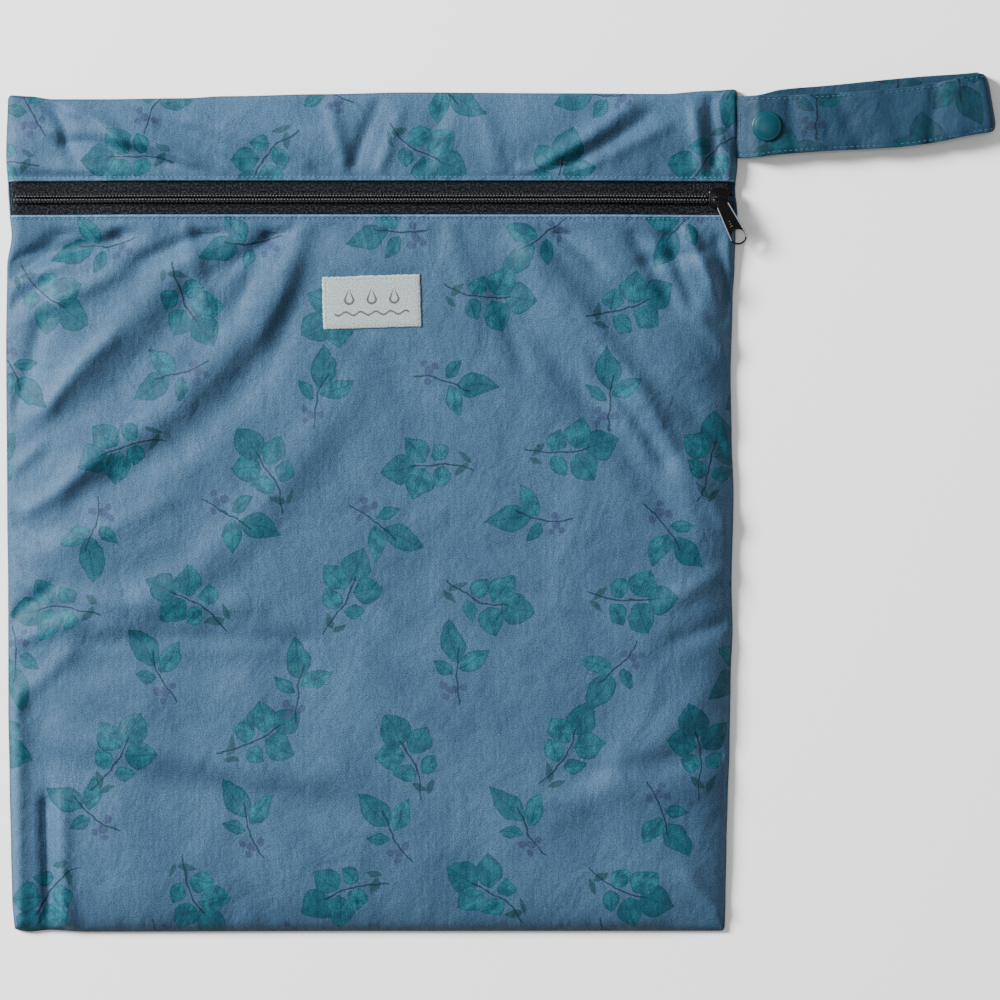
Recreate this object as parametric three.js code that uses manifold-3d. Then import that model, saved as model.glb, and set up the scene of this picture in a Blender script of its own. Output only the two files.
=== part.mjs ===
import * as THREE from 'three';
import { mergeVertices } from 'three/addons/utils/BufferGeometryUtils.js';
import Module from 'manifold-3d';

const solids = await Module();
solids.setup();

// A zip bag of coated cloth lying on its back. Millimetres, X towards the strap, Y towards the zip,
// Z up from the surface below. The origin is the middle of the bag's back.

const bagWidth = 303;
const bagHeight = 349;
const clothThickness = 1.0;
const pieceGap = 0.3;
const crownHeight = 8.6;
const edgeRoll = 12;

const zipFromTop = 45.5;
const zipLevelAtEnds = 3.2;
const zipLevelInMiddle = 7.0;
const zipLevelRun = 60;
const zipEdgeRun = 3.2;
const zipStiffMargin = 1.0;
const zipStiffFade = 17;
const tapeThickness = 0.8;
const tapeWidth = 12;
const tapeShowing = 6.9;
const tapeEndInset = 1.4;
const coilWidth = 4.1;
const coilHeight = 1.5;

const sliderFromRight = 8.1;
const sliderLength = 8.0;
const sliderWidth = 8.2;
const sliderPlate = 0.9;
const sliderLip = 0.8;
const sliderPost = 1.5;
const sliderPostLength = 1.9;
const sliderPostForward = 2.2;
const bailBarWidth = 0.9;
const bailLegThickness = 1.0;
const bailRise = 1.95;

const pullLength = 21.4;
const pullTopWidth = 5.3;
const pullRingWidth = 7.2;
const pullHoleWidth = 5.6;
const pullThickness = 1.1;
const pullShoulder = 1.0;
const pullTurn = 27;
const pullDroop = 8;
const knuckleLength = 3.0;
const knuckleWall = 0.5;

const strapReach = 105.2;
const strapWidth = 24.4;
const strapThickness = 1.2;
const strapFromTop = 15.9;
const strapTuck = 5;
const strapLoopRoom = 5.0;
const strapRise = 5.6;
const strapFreeEnd = 4.8;
const strapSlant = 0.17;
const strapSettle = 17.4;

const snapWidth = 12.4;
const snapFromSeam = 11.7;
const snapCapHeight = 1.7;
const snapBackHeight = 1.2;
const studBaseWidth = 10.4;
const studBaseHeight = 0.8;
const studKnobWidth = 4.4;
const studKnobHeight = 1.0;
const socketHeight = 1.5;

const labelWidth = 40.5;
const labelHeight = 21.6;
const labelThickness = 1.0;
const labelAcross = 0.3;
const labelFromTop = 88.6;
const labelTurn = 1.7;
const labelStiffness = 0.85;

const cellsAcross = 34;
const cellsUpLower = 34;
const cellsUpUpper = 8;
const edgeCrowding = 0.4;
const roundSides = 24;

// Sizes that follow from those above.
const leftMost = -bagWidth / 2;
const rightMost = bagWidth / 2;
const bottomMost = -bagHeight / 2;
const topMost = bagHeight / 2;
const seamLevel = clothThickness + pieceGap;
const zipY = topMost - zipFromTop;
const tapeRoom = tapeThickness + pieceGap;
const strapRoom = strapThickness + pieceGap;
const strapRootY = topMost - strapFromTop;
const labelUp = topMost - labelFromTop;
const hemLower = zipY - tapeShowing;
const hemUpper = zipY + tapeShowing;

// How far the seam stands in from the widest place, as shares of the bag's width and height.
const leftEdge = [
  { up: 0.0, inset: 0.0115 }, { up: 0.04, inset: 0.0082 }, { up: 0.1, inset: 0.0066 },
  { up: 0.17, inset: 0.0048 }, { up: 0.27, inset: 0.003 }, { up: 0.41, inset: 0.0027 },
  { up: 0.5, inset: 0.0014 }, { up: 0.7, inset: 0.0 }, { up: 0.79, inset: 0.0014 },
  { up: 0.826, inset: 0.0075 }, { up: 0.855, inset: 0.0045 }, { up: 0.88, inset: 0.0027 },
  { up: 0.92, inset: 0.0 }, { up: 1.0, inset: 0.0027 },
];
const rightEdge = [
  { up: 0.0, inset: 0.0175 }, { up: 0.04, inset: 0.0164 }, { up: 0.11, inset: 0.015 },
  { up: 0.15, inset: 0.0136 }, { up: 0.22, inset: 0.0109 }, { up: 0.3, inset: 0.0095 },
  { up: 0.36, inset: 0.0068 }, { up: 0.41, inset: 0.0082 }, { up: 0.52, inset: 0.0055 },
  { up: 0.59, inset: 0.0082 }, { up: 0.66, inset: 0.0095 }, { up: 0.75, inset: 0.0068 },
  { up: 0.79, inset: 0.0041 }, { up: 0.83, inset: 0.0027 }, { up: 0.852, inset: 0.0 },
  { up: 0.88, inset: 0.0032 }, { up: 0.914, inset: 0.0 }, { up: 1.0, inset: 0.0 },
];
const topEdge = [
  { across: 0.0, inset: 0.0071 }, { across: 0.03, inset: 0.0085 }, { across: 0.06, inset: 0.0119 },
  { across: 0.13, inset: 0.0119 }, { across: 0.24, inset: 0.0107 }, { across: 0.3, inset: 0.0083 },
  { across: 0.43, inset: 0.0059 }, { across: 0.55, inset: 0.0038 }, { across: 0.76, inset: 0.0048 },
  { across: 0.9, inset: 0.0056 }, { across: 0.96, inset: 0.002 }, { across: 1.0, inset: 0.0 },
];
const bottomEdge = [
  { across: 0.0, inset: 0.0024 }, { across: 0.02, inset: 0.0 }, { across: 0.05, inset: 0.0022 },
  { across: 0.1, inset: 0.0 }, { across: 0.5, inset: 0.0008 }, { across: 1.0, inset: 0.001 },
];

// The main folds of the front. A fold runs from one place to another, given as shares of the bag's
// width and height. Bow and reach are shares of the width, rise is a share of the crown height.
const folds = [
  { fromAcross: 0.064, fromUp: 0.631, toAcross: 0.247, toUp: 0.794, bow: 0.0, reach: 0.03, rise: 0.26 },
  { fromAcross: 0.06, fromUp: 0.6, toAcross: 0.262, toUp: 0.765, bow: -0.02, reach: 0.026, rise: -0.2 },
  { fromAcross: 0.1, fromUp: 0.548, toAcross: 0.39, toUp: 0.787, bow: -0.026, reach: 0.03, rise: 0.3 },
  { fromAcross: 0.11, fromUp: 0.52, toAcross: 0.41, toUp: 0.755, bow: -0.04, reach: 0.028, rise: -0.22 },
  { fromAcross: 0.105, fromUp: 0.356, toAcross: 0.43, toUp: 0.595, bow: -0.037, reach: 0.034, rise: 0.28 },
  { fromAcross: 0.09, fromUp: 0.318, toAcross: 0.39, toUp: 0.318, bow: 0.0, reach: 0.032, rise: -0.22 },
  { fromAcross: 0.087, fromUp: 0.232, toAcross: 0.4, toUp: 0.184, bow: 0.0, reach: 0.03, rise: 0.24 },
  { fromAcross: 0.09, fromUp: 0.2, toAcross: 0.44, toUp: 0.152, bow: 0.0, reach: 0.028, rise: -0.18 },
  { fromAcross: 0.73, fromUp: 0.79, toAcross: 0.928, toUp: 0.524, bow: 0.0, reach: 0.03, rise: 0.3 },
  { fromAcross: 0.69, fromUp: 0.75, toAcross: 0.902, toUp: 0.508, bow: 0.0, reach: 0.026, rise: -0.2 },
  { fromAcross: 0.842, fromUp: 0.19, toAcross: 0.97, toUp: 0.29, bow: 0.0, reach: 0.028, rise: 0.2 },
  { fromAcross: 0.79, fromUp: 0.16, toAcross: 0.97, toUp: 0.178, bow: 0.0, reach: 0.028, rise: 0.16 },
  { fromAcross: 0.053, fromUp: 0.03, toAcross: 0.053, toUp: 0.28, bow: 0.0, reach: 0.028, rise: -0.2 },
  { fromAcross: 0.06, fromUp: 0.45, toAcross: 0.19, toUp: 0.466, bow: 0.0, reach: 0.028, rise: 0.16 },
  { fromAcross: 0.045, fromUp: 0.99, toAcross: 0.06, toUp: 0.93, bow: 0.0, reach: 0.026, rise: -0.16 },
  { fromAcross: 0.1, fromUp: 0.965, toAcross: 0.24, toUp: 0.905, bow: 0.0, reach: 0.026, rise: 0.14 },
  { fromAcross: 0.755, fromUp: 0.9, toAcross: 0.86, toUp: 0.98, bow: 0.0, reach: 0.028, rise: 0.16 },
  { fromAcross: 0.965, fromUp: 0.91, toAcross: 0.965, toUp: 0.98, bow: 0.0, reach: 0.026, rise: 0.16 },
];

// The strap by shares of its reach from the seam. Lift and backLift raise the two layers' middle lines
// towards the top of the bag, as shares of the reach; flare is a share of the width.
const strapTable = [
  { out: -0.05, lift: 0.0, backLift: 0.004, flare: 1.06 },
  { out: 0.07, lift: 0.0, backLift: 0.004, flare: 1.05 },
  { out: 0.17, lift: 0.006, backLift: 0.032, flare: 1.0 },
  { out: 0.38, lift: 0.018, backLift: 0.054, flare: 0.98 },
  { out: 0.6, lift: 0.031, backLift: 0.074, flare: 0.99 },
  { out: 0.75, lift: 0.05, backLift: 0.087, flare: 0.99 },
  { out: 0.9, lift: 0.079, backLift: 0.098, flare: 0.98 },
  { out: 1.0, lift: 0.098, backLift: 0.103, flare: 1.02 },
];

const clamp = (value) => Math.min(1, Math.max(0, value));
const mix = (from, to, share) => from + (to - from) * share;

// 0 before start, 1 after end, level at both.
const ramp = (start, end, value) => {
  const share = clamp((value - start) / (end - start));
  return share * share * (3 - 2 * share);
};

// A table's column between its rows, with level joins at the rows.
function readTable(table, key, column, at) {
  const next = table.findIndex((row) => row[key] > at);
  if (next === 0) return table[0][column];
  if (next < 0) return table[table.length - 1][column];
  const low = table[next - 1];
  const high = table[next];
  return mix(low[column], high[column], ramp(low[key], high[key], at));
}

// A table's column as a smooth curve through its rows, with no level joins.
function readCurve(table, key, column, at) {
  const last = table.length - 1;
  const next = table.findIndex((row) => row[key] > at);
  const after = next < 0 ? last : Math.max(1, next);
  const slopeAt = (place) => {
    const before = table[Math.max(0, place - 1)];
    const beyond = table[Math.min(last, place + 1)];
    return (beyond[column] - before[column]) / (beyond[key] - before[key]);
  };
  const low = table[after - 1];
  const high = table[after];
  const span = high[key] - low[key];
  const share = clamp((at - low[key]) / span);
  const bend = (1 - share) * slopeAt(after - 1) - share * slopeAt(after);
  return mix(low[column], high[column], ramp(0, 1, share)) + share * (1 - share) * bend * span;
}

const shareUp = (y) => (y - bottomMost) / bagHeight;
const shareAcross = (x) => (x - leftMost) / bagWidth;
const leftAt = (y) => leftMost + bagWidth * readTable(leftEdge, 'up', 'inset', shareUp(y));
const rightAt = (y) => rightMost - bagWidth * readTable(rightEdge, 'up', 'inset', shareUp(y));
const topAt = (x) => topMost - bagHeight * readTable(topEdge, 'across', 'inset', shareAcross(x));
const bottomAt = (x) => bottomMost + bagHeight * readTable(bottomEdge, 'across', 'inset', shareAcross(x));

// Even shares from 0 to 1, drawn closer at both ends.
const crowded = (share, crowding) => share - crowding * Math.sin(2 * Math.PI * share) / (2 * Math.PI);
// Shares from 0 to 1, drawn closer at 0 only.
const crowdedAtStart = (share) => share - edgeCrowding * Math.sin(Math.PI * share) / Math.PI;

// The height that one fold adds at a place.
function foldAt(fold, x, y) {
  const startX = leftMost + fold.fromAcross * bagWidth;
  const startY = bottomMost + fold.fromUp * bagHeight;
  const runX = leftMost + fold.toAcross * bagWidth - startX;
  const runY = bottomMost + fold.toUp * bagHeight - startY;
  const run = Math.hypot(runX, runY);
  const along = ((x - startX) * runX + (y - startY) * runY) / (run * run);
  const aside = ((y - startY) * runX - (x - startX) * runY) / run;
  const within = clamp(along);
  const bowed = aside - fold.bow * bagWidth * 4 * within * (1 - within);
  const past = (along - within) * run;
  const reach = fold.reach * bagWidth;
  return fold.rise * crownHeight * Math.exp(-(bowed * bowed + past * past / 4) / (reach * reach));
}

// The zip stiffens the cloth beside it, and the strap's root lifts the cloth over it.
const zipStiff = tapeWidth + zipStiffMargin;
const zipNear = (y) => 1 - ramp(zipStiff, zipStiff + zipStiffFade, Math.abs(y - zipY));
const strapNear = (y) => 1 - ramp(strapWidth * 0.62, strapWidth, Math.abs(y - strapRootY));
const fill = (distance) => 1 - Math.exp(-Math.max(0, distance) / edgeRoll);
// The label stiffens the cloth under it.
const labelNear = (x, y) => (1 - ramp(labelWidth / 2, labelWidth, Math.abs(x - labelAcross)))
  * (1 - ramp(labelHeight / 2, labelHeight * 1.5, Math.abs(y - labelUp)));

// Height of the zip's band above the seam. It is level at both ends, where the slider is.
function zipLevel(x, y) {
  const inward = Math.min(x - leftAt(y), rightAt(y) - x);
  const level = mix(zipLevelAtEnds, zipLevelInMiddle, ramp(sliderLength * 1.6, zipLevelRun, inward));
  return mix(tapeRoom, level, clamp(inward / zipEdgeRun));
}

// Height of the front cloth's inner face.
function frontAt(x, y) {
  const right = rightAt(y) - x;
  const held = fill(x - leftAt(y)) * fill(right) * fill(y - bottomAt(x)) * fill(topAt(x) - y);
  const free = held * (1 - labelStiffness * labelNear(x, y));
  let puff = crownHeight * held;
  for (const fold of folds) puff += foldAt(fold, x, y) * free;
  const root = strapRoom * strapNear(y) * (1 - ramp(0, strapTuck * 3, right));
  return seamLevel + Math.max(root, mix(puff, zipLevel(x, y), zipNear(y)));
}

// A closed body between two faces over a grid of cells. placeAt gives the outer and the inner point.
function closedSheet(cellsAlong, cellsAside, placeAt) {
  const points = [[], []];
  for (let aside = 0; aside <= cellsAside; aside += 1) {
    for (let along = 0; along <= cellsAlong; along += 1) {
      const pair = placeAt(along, aside);
      points[0].push(...pair[0]);
      points[1].push(...pair[1]);
    }
  }
  const rowLength = cellsAlong + 1;
  const count = rowLength * (cellsAside + 1);
  const outer = (along, aside) => aside * rowLength + along;
  const inner = (along, aside) => count + aside * rowLength + along;
  const faces = [];
  for (let aside = 0; aside < cellsAside; aside += 1) {
    for (let along = 0; along < cellsAlong; along += 1) {
      const ring = [[along, aside], [along + 1, aside], [along + 1, aside + 1], [along, aside + 1]];
      const [a, b, c, d] = ring.map((place) => outer(...place));
      const [e, f, g, h] = ring.map((place) => inner(...place));
      faces.push(a, b, c, a, c, d, e, g, f, e, h, g);
    }
  }
  const wall = (a, b, c, d) => faces.push(a, b, c, a, c, d);
  for (let along = 0; along < cellsAlong; along += 1) {
    wall(outer(along + 1, 0), outer(along, 0), inner(along, 0), inner(along + 1, 0));
    wall(outer(along, cellsAside), outer(along + 1, cellsAside),
      inner(along + 1, cellsAside), inner(along, cellsAside));
  }
  for (let aside = 0; aside < cellsAside; aside += 1) {
    wall(outer(0, aside), outer(0, aside + 1), inner(0, aside + 1), inner(0, aside));
    wall(outer(cellsAlong, aside + 1), outer(cellsAlong, aside),
      inner(cellsAlong, aside), inner(cellsAlong, aside + 1));
  }
  const geometry = new THREE.BufferGeometry();
  geometry.setAttribute('position', new THREE.Float32BufferAttribute([...points[0], ...points[1]], 3));
  geometry.setIndex(faces);
  return geometry;
}

function toSolid(geometry) {
  const bare = geometry.clone();
  bare.deleteAttribute('normal');
  bare.deleteAttribute('uv');
  const merged = mergeVertices(bare, 1e-4);
  return new solids.Manifold(new solids.Mesh({
    numProp: 3,
    vertProperties: new Float32Array(merged.attributes.position.array),
    triVerts: new Uint32Array(merged.index.array),
  }));
}

function fromSolid(solid) {
  const mesh = solid.getMesh();
  const geometry = new THREE.BufferGeometry();
  geometry.setAttribute('position', new THREE.Float32BufferAttribute(mesh.vertProperties, 3));
  geometry.setIndex(Array.from(mesh.triVerts));
  return geometry;
}

const joined = (parts) => parts.map(toSolid).reduce((sum, part) => sum.add(part));

function box(sizeX, sizeY, sizeZ, x, y, z) {
  const geometry = new THREE.BoxGeometry(sizeX, sizeY, sizeZ);
  geometry.translate(x, y, z);
  return geometry;
}

// A round bar along X.
function barAlongX(width, length, x, y, z, sides = roundSides) {
  const geometry = new THREE.CylinderGeometry(width / 2, width / 2, length, sides);
  geometry.rotateZ(Math.PI / 2);
  geometry.translate(x, y, z);
  return geometry;
}

// A turned piece about Z from its half profile, given as shares of a radius and a height. Rows marked
// bore take the bore's radius.
function turned(profile, size, x, y, z) {
  const radiusOf = (row) => (row.at === 'bore' ? size.bore : row.out * size.radius);
  const points = profile.map((row) => new THREE.Vector2(radiusOf(row), row.up * size.height));
  const geometry = new THREE.LatheGeometry(points, roundSides);
  geometry.rotateX(Math.PI / 2);
  geometry.translate(x, y, z);
  return geometry;
}

const group = new THREE.Group();

function addMesh(name, geometry, colour, roughness, metalness) {
  geometry.deleteAttribute('normal');
  geometry.computeVertexNormals();
  const material = new THREE.MeshStandardMaterial({ color: colour, roughness, metalness });
  const mesh = new THREE.Mesh(geometry, material);
  mesh.name = name;
  group.add(mesh);
}

// The same stations across serve every long piece, so neighbours keep their gap. The first cell and
// the last are as wide as the zip's rise at its ends.
const endShare = zipEdgeRun / bagWidth;
const acrossShares = [0];
for (let cell = 0; cell <= cellsAcross - 2; cell += 1) {
  acrossShares.push(mix(endShare, 1 - endShare, crowded(cell / (cellsAcross - 2), edgeCrowding)));
}
acrossShares.push(1);

// One front panel. placeUp gives how far up the bag a row lies at a place across.
function frontPanel(cellsUp, placeUp) {
  return closedSheet(cellsAcross, cellsUp, (along, aside) => {
    const share = acrossShares[along];
    const y = placeUp(leftMost + share * bagWidth, aside / cellsUp);
    const x = mix(leftAt(y), rightAt(y), share);
    const z = frontAt(x, y);
    return [[x, y, z + clothThickness], [x, y, z]];
  });
}

// The flat back, with the same outline as the two front panels.
function backPanel() {
  const outline = [];
  const stepsUp = cellsUpLower + cellsUpUpper;
  for (const share of acrossShares) {
    const x = leftMost + share * bagWidth;
    const y = bottomAt(x);
    outline.push([mix(leftAt(y), rightAt(y), share), y]);
  }
  for (let step = 1; step < stepsUp; step += 1) {
    const y = mix(bottomAt(rightMost), topAt(rightMost), step / stepsUp);
    outline.push([rightAt(y), y]);
  }
  for (const share of [...acrossShares].reverse()) {
    const x = leftMost + share * bagWidth;
    const y = topAt(x);
    outline.push([mix(leftAt(y), rightAt(y), share), y]);
  }
  for (let step = stepsUp - 1; step > 0; step -= 1) {
    const y = mix(bottomAt(leftMost), topAt(leftMost), step / stepsUp);
    outline.push([leftAt(y), y]);
  }
  const shape = new THREE.Shape(outline.map(([x, y]) => new THREE.Vector2(x, y)));
  const flat = new THREE.ExtrudeGeometry(shape, { depth: clothThickness, bevelEnabled: false });
  flat.deleteAttribute('normal');
  flat.deleteAttribute('uv');
  return mergeVertices(flat, 1e-4);
}

// The lower one runs from the bottom seam to the hem below the zip, the upper one from the hem above
// the zip to the top seam.
const lowerPanel = () => frontPanel(cellsUpLower,
  (x, share) => mix(bottomAt(x), hemLower, crowded(share, edgeCrowding * 0.5)));
const upperPanel = () => frontPanel(cellsUpUpper,
  (x, share) => mix(topAt(x), hemUpper, crowdedAtStart(1 - share)));

// The zip closes up to the slider and opens past it, around the slider's post.
const sliderX = rightMost - sliderFromRight;
const parting = sliderPost / 2 + pieceGap;
const partingStart = sliderX - sliderLength * 0.6;
const openAt = (x) => mix(pieceGap / 2, parting, ramp(partingStart, sliderX - sliderLength * 0.1, x));
const tapeTop = seamLevel + zipLevelAtEnds - pieceGap;

// A station along the zip, a little inside the seams at both ends.
function zipStation(along, y) {
  const x = mix(leftAt(y), rightAt(y), acrossShares[along]);
  return Math.min(rightAt(y) - tapeEndInset, Math.max(leftAt(y) + tapeEndInset, x));
}

// A strip of the zip, side 1 above the middle line and -1 below it.
function zipTape(side) {
  return closedSheet(cellsAcross, 2, (along, aside) => {
    const row = side > 0 ? aside / 2 : 1 - aside / 2;
    const opening = openAt(zipStation(along, zipY));
    const y = zipY + side * mix(opening, tapeWidth, row);
    const x = zipStation(along, y);
    const top = seamLevel + zipLevel(x, y) - pieceGap;
    return [[x, y, top], [x, y, top - tapeThickness]];
  });
}

function zipCoil(side) {
  const rows = [
    { aside: 0.0, height: 0.45 }, { aside: 0.3, height: 1.0 },
    { aside: 0.7, height: 1.0 }, { aside: 1.0, height: 0.45 },
  ];
  return closedSheet(cellsAcross, rows.length - 1, (along, aside) => {
    const row = side > 0 ? rows[aside] : rows[rows.length - 1 - aside];
    const x = zipStation(along, zipY);
    const y = zipY + side * (openAt(x) + row.aside * (coilWidth - pieceGap) / 2);
    const base = seamLevel + zipLevel(x, y);
    return [[x, y, base + row.height * coilHeight], [x, y, base]];
  });
}

// The slider: two plates joined by the post between the coils, with the bail standing on top.
const topPlateLow = tapeTop + pieceGap + coilHeight + pieceGap;
const topPlateHigh = topPlateLow + sliderPlate;
const lowPlateHigh = tapeTop - tapeThickness - pieceGap;
const barZ = topPlateHigh + bailRise;
const bailInside = knuckleLength + 2 * pieceGap;

function sliderPlateAt(lowZ, length, width) {
  const corner = width * 0.3;
  const halfLength = length / 2;
  const halfWidth = width / 2;
  const narrow = halfWidth * 0.86;
  const shape = new THREE.Shape();
  shape.moveTo(-halfLength + corner, -narrow);
  shape.lineTo(halfLength - corner, -halfWidth);
  shape.quadraticCurveTo(halfLength, -halfWidth, halfLength, -halfWidth + corner);
  shape.lineTo(halfLength, halfWidth - corner);
  shape.quadraticCurveTo(halfLength, halfWidth, halfLength - corner, halfWidth);
  shape.lineTo(-halfLength + corner, narrow);
  shape.quadraticCurveTo(-halfLength, narrow, -halfLength, narrow - corner);
  shape.lineTo(-halfLength, -narrow + corner);
  shape.quadraticCurveTo(-halfLength, -narrow, -halfLength + corner, -narrow);
  const edge = sliderPlate * 0.25;
  const plate = new THREE.ExtrudeGeometry(shape, {
    depth: sliderPlate - 2 * edge, bevelThickness: edge, bevelSize: edge, bevelOffset: -edge,
    bevelSegments: 1, curveSegments: 4,
  });
  plate.translate(sliderX, zipY, lowZ + edge);
  return plate;
}

function zipSlider() {
  const postX = sliderX + sliderPostForward;
  const postHeight = topPlateLow - lowPlateHigh + sliderPlate;
  const lipHeight = coilHeight + pieceGap + sliderPlate / 2;
  const lipY = coilWidth / 2 + openAt(sliderX) + pieceGap + sliderLip / 2;
  const legX = bailInside / 2 + bailLegThickness / 2;
  const legHeight = bailRise + sliderPlate / 2;
  const parts = [
    sliderPlateAt(topPlateLow, sliderLength, sliderWidth),
    sliderPlateAt(lowPlateHigh - sliderPlate, sliderLength, sliderWidth),
    box(sliderPostLength, sliderPost, postHeight, postX, zipY, mix(lowPlateHigh, topPlateLow, 0.5)),
    barAlongX(bailBarWidth, bailInside + bailLegThickness * 2, sliderX, zipY, barZ, 12),
  ];
  for (const side of [-1, 1]) {
    parts.push(box(sliderLength * 0.6, sliderLip, lipHeight,
      sliderX, zipY + side * lipY, topPlateLow + (sliderPlate - lipHeight) / 2));
    parts.push(box(bailLegThickness, bailBarWidth, legHeight,
      sliderX + side * legX, zipY, topPlateHigh - sliderPlate / 2 + legHeight / 2));
  }
  return fromSolid(joined(parts));
}

// The pull turns on the bail's bar. Its plate is drawn along -Y, then turned and drooped into place.
function zipPull() {
  const knuckleBore = bailBarWidth + 2 * pieceGap;
  const knuckleWidth = knuckleBore + 2 * knuckleWall;
  const ringRadius = pullRingWidth / 2;
  const ringY = -(pullLength - ringRadius);
  const neckY = -knuckleWidth * 0.34;
  const shoulderY = -(bailBarWidth + pullShoulder);
  const halfTop = pullTopWidth / 2;
  const halfNeck = knuckleLength / 2 * 0.7;
  const shape = new THREE.Shape();
  shape.moveTo(-halfNeck, neckY);
  shape.lineTo(-halfNeck, shoulderY);
  shape.lineTo(-halfTop, shoulderY - halfTop * 0.35);
  shape.lineTo(-ringRadius, ringY);
  shape.absarc(0, ringY, ringRadius, Math.PI, 2 * Math.PI, false);
  shape.lineTo(halfTop, shoulderY - halfTop * 0.35);
  shape.lineTo(halfNeck, shoulderY);
  shape.lineTo(halfNeck, neckY);
  const hole = new THREE.Path();
  hole.absarc(0, ringY, pullHoleWidth / 2, 0, 2 * Math.PI, true);
  shape.holes.push(hole);
  const edge = pullThickness * 0.2;
  const plate = new THREE.ExtrudeGeometry(shape, {
    depth: pullThickness - 2 * edge, bevelThickness: edge, bevelSize: edge, bevelOffset: -edge,
    bevelSegments: 1, curveSegments: 12,
  });
  plate.translate(0, 0, edge - pullThickness / 2);
  plate.rotateZ(THREE.MathUtils.degToRad(pullTurn));
  const knuckle = barAlongX(knuckleWidth, knuckleLength, 0, 0, 0);
  const bore = barAlongX(knuckleBore, knuckleLength * 2, 0, 0, 0);
  const pull = fromSolid(joined([plate, knuckle]).subtract(toSolid(bore)));
  pull.rotateX(THREE.MathUtils.degToRad(pullDroop));
  pull.translate(sliderX, zipY, barZ);
  return pull;
}

// The snap holds the strap's two layers apart by its socket and stud.
const snapX = rightMost + snapFromSeam;
const snapY = strapRootY;
const backRaised = snapBackHeight + pieceGap;
const studLow = backRaised + strapThickness + pieceGap;
const socketLow = studLow + studBaseHeight + pieceGap;
const frontRaised = socketLow + socketHeight + pieceGap;
const capLow = frontRaised + strapThickness + pieceGap;

// The strap is one band: out from the seam on top, round the far fold and back below to its free end.
// Past the snap both layers are level: the loop's cells are even between the snap and the far fold.
function strap() {
  const loopHigh = strapThickness + strapLoopRoom;
  const foldRadius = loopHigh / 2;
  const reach = strapReach - foldRadius - strapThickness / 2;
  const pastSnap = snapFromSeam + snapWidth / 2;
  const settled = pastSnap + strapSettle;
  const risingCells = 5;
  const loopCells = 10;
  const turns = 8;
  const rising = Array.from({ length: risingCells + 1 }, (_, cell) => strapRise * cell / risingCells);
  const loop = Array.from({ length: loopCells + 1 }, (_, cell) => mix(pastSnap, reach, cell / loopCells));
  const rows = [];
  for (const out of [-strapTuck, -strapTuck / 5, ...rising, ...loop]) {
    const risen = mix(seamLevel, frontRaised, ramp(0, strapRise, out));
    rows.push({ out, low: mix(risen, loopHigh, ramp(pastSnap, settled, out)), turn: 0 });
  }
  for (let turn = 1; turn < turns; turn += 1) {
    rows.push({ out: reach, low: 0, turn: turn / turns });
  }
  for (const out of [...loop.reverse(), snapFromSeam, strapFreeEnd]) {
    rows.push({ out, low: mix(backRaised, 0, ramp(pastSnap, settled, out)), turn: 1 });
  }
  const cellsWide = 3;
  return closedSheet(rows.length - 1, cellsWide, (along, aside) => {
    const row = rows[along];
    const share = row.out / strapReach;
    const frontLift = readCurve(strapTable, 'out', 'lift', share);
    const backLift = readCurve(strapTable, 'out', 'backLift', share);
    const flare = readCurve(strapTable, 'out', 'flare', share);
    const lift = mix(frontLift, backLift, row.turn) * strapReach;
    const slant = ramp(0.1, 1, share) * strapSlant;
    const offset = (aside / cellsWide - 0.5) * strapWidth * flare;
    const x = rightMost + row.out - slant * offset;
    const y = strapRootY + lift + offset;
    if (row.turn > 0 && row.turn < 1) {
      const angle = Math.PI * (0.5 - row.turn);
      const middle = strapThickness / 2 + foldRadius;
      const inner = foldRadius - strapThickness / 2;
      const outer = foldRadius + strapThickness / 2;
      return [
        [x + outer * Math.cos(angle), y, middle + outer * Math.sin(angle)],
        [x + inner * Math.cos(angle), y, middle + inner * Math.sin(angle)],
      ];
    }
    const under = [x, y, row.low];
    const over = [x, y, row.low + strapThickness];
    return row.turn === 0 ? [over, under] : [under, over];
  });
}

const capProfile = [
  { out: 0, up: 0 }, { out: 0.97, up: 0 }, { out: 1, up: 0.3 }, { out: 0.94, up: 0.56 },
  { out: 0.72, up: 0.82 }, { out: 0.4, up: 0.96 }, { out: 0, up: 1 },
];
const socketProfile = [
  { at: 'bore', up: 0 }, { out: 1, up: 0 }, { out: 1, up: 0.6 }, { out: 0.8, up: 1 },
  { at: 'bore', up: 1 }, { at: 'bore', up: 0 },
];
const studBaseProfile = [
  { out: 0, up: 0 }, { out: 1, up: 0 }, { out: 1, up: 0.6 }, { out: 0.9, up: 1 }, { out: 0, up: 1 },
];
const knobProfile = [
  { out: 0, up: 0 }, { out: 0.88, up: 0 }, { out: 1, up: 0.75 }, { out: 0.8, up: 1 }, { out: 0, up: 1 },
];
const backCapProfile = [
  { out: 0, up: 0 }, { out: 0.9, up: 0 }, { out: 1, up: 0.5 }, { out: 0.97, up: 1 }, { out: 0, up: 1 },
];

function snapCap() {
  return turned(capProfile, { radius: snapWidth / 2, height: snapCapHeight }, snapX, snapY, capLow);
}

function snapSocket() {
  const size = { radius: studBaseWidth / 2, height: socketHeight, bore: studKnobWidth / 2 + pieceGap };
  return turned(socketProfile, size, snapX, snapY, socketLow);
}

// The knob reaches up into the socket and starts halfway down in its base, so that the two join.
function snapStud() {
  const base = { radius: studBaseWidth / 2, height: studBaseHeight };
  const knob = { radius: studKnobWidth / 2, height: studBaseHeight / 2 + pieceGap + studKnobHeight };
  return fromSolid(joined([
    turned(studBaseProfile, base, snapX, snapY, studLow),
    turned(knobProfile, knob, snapX, snapY, studLow + studBaseHeight / 2),
  ]));
}

function snapBackCap() {
  return turned(backCapProfile, { radius: snapWidth / 2, height: snapBackHeight }, snapX, snapY, 0);
}

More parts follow.
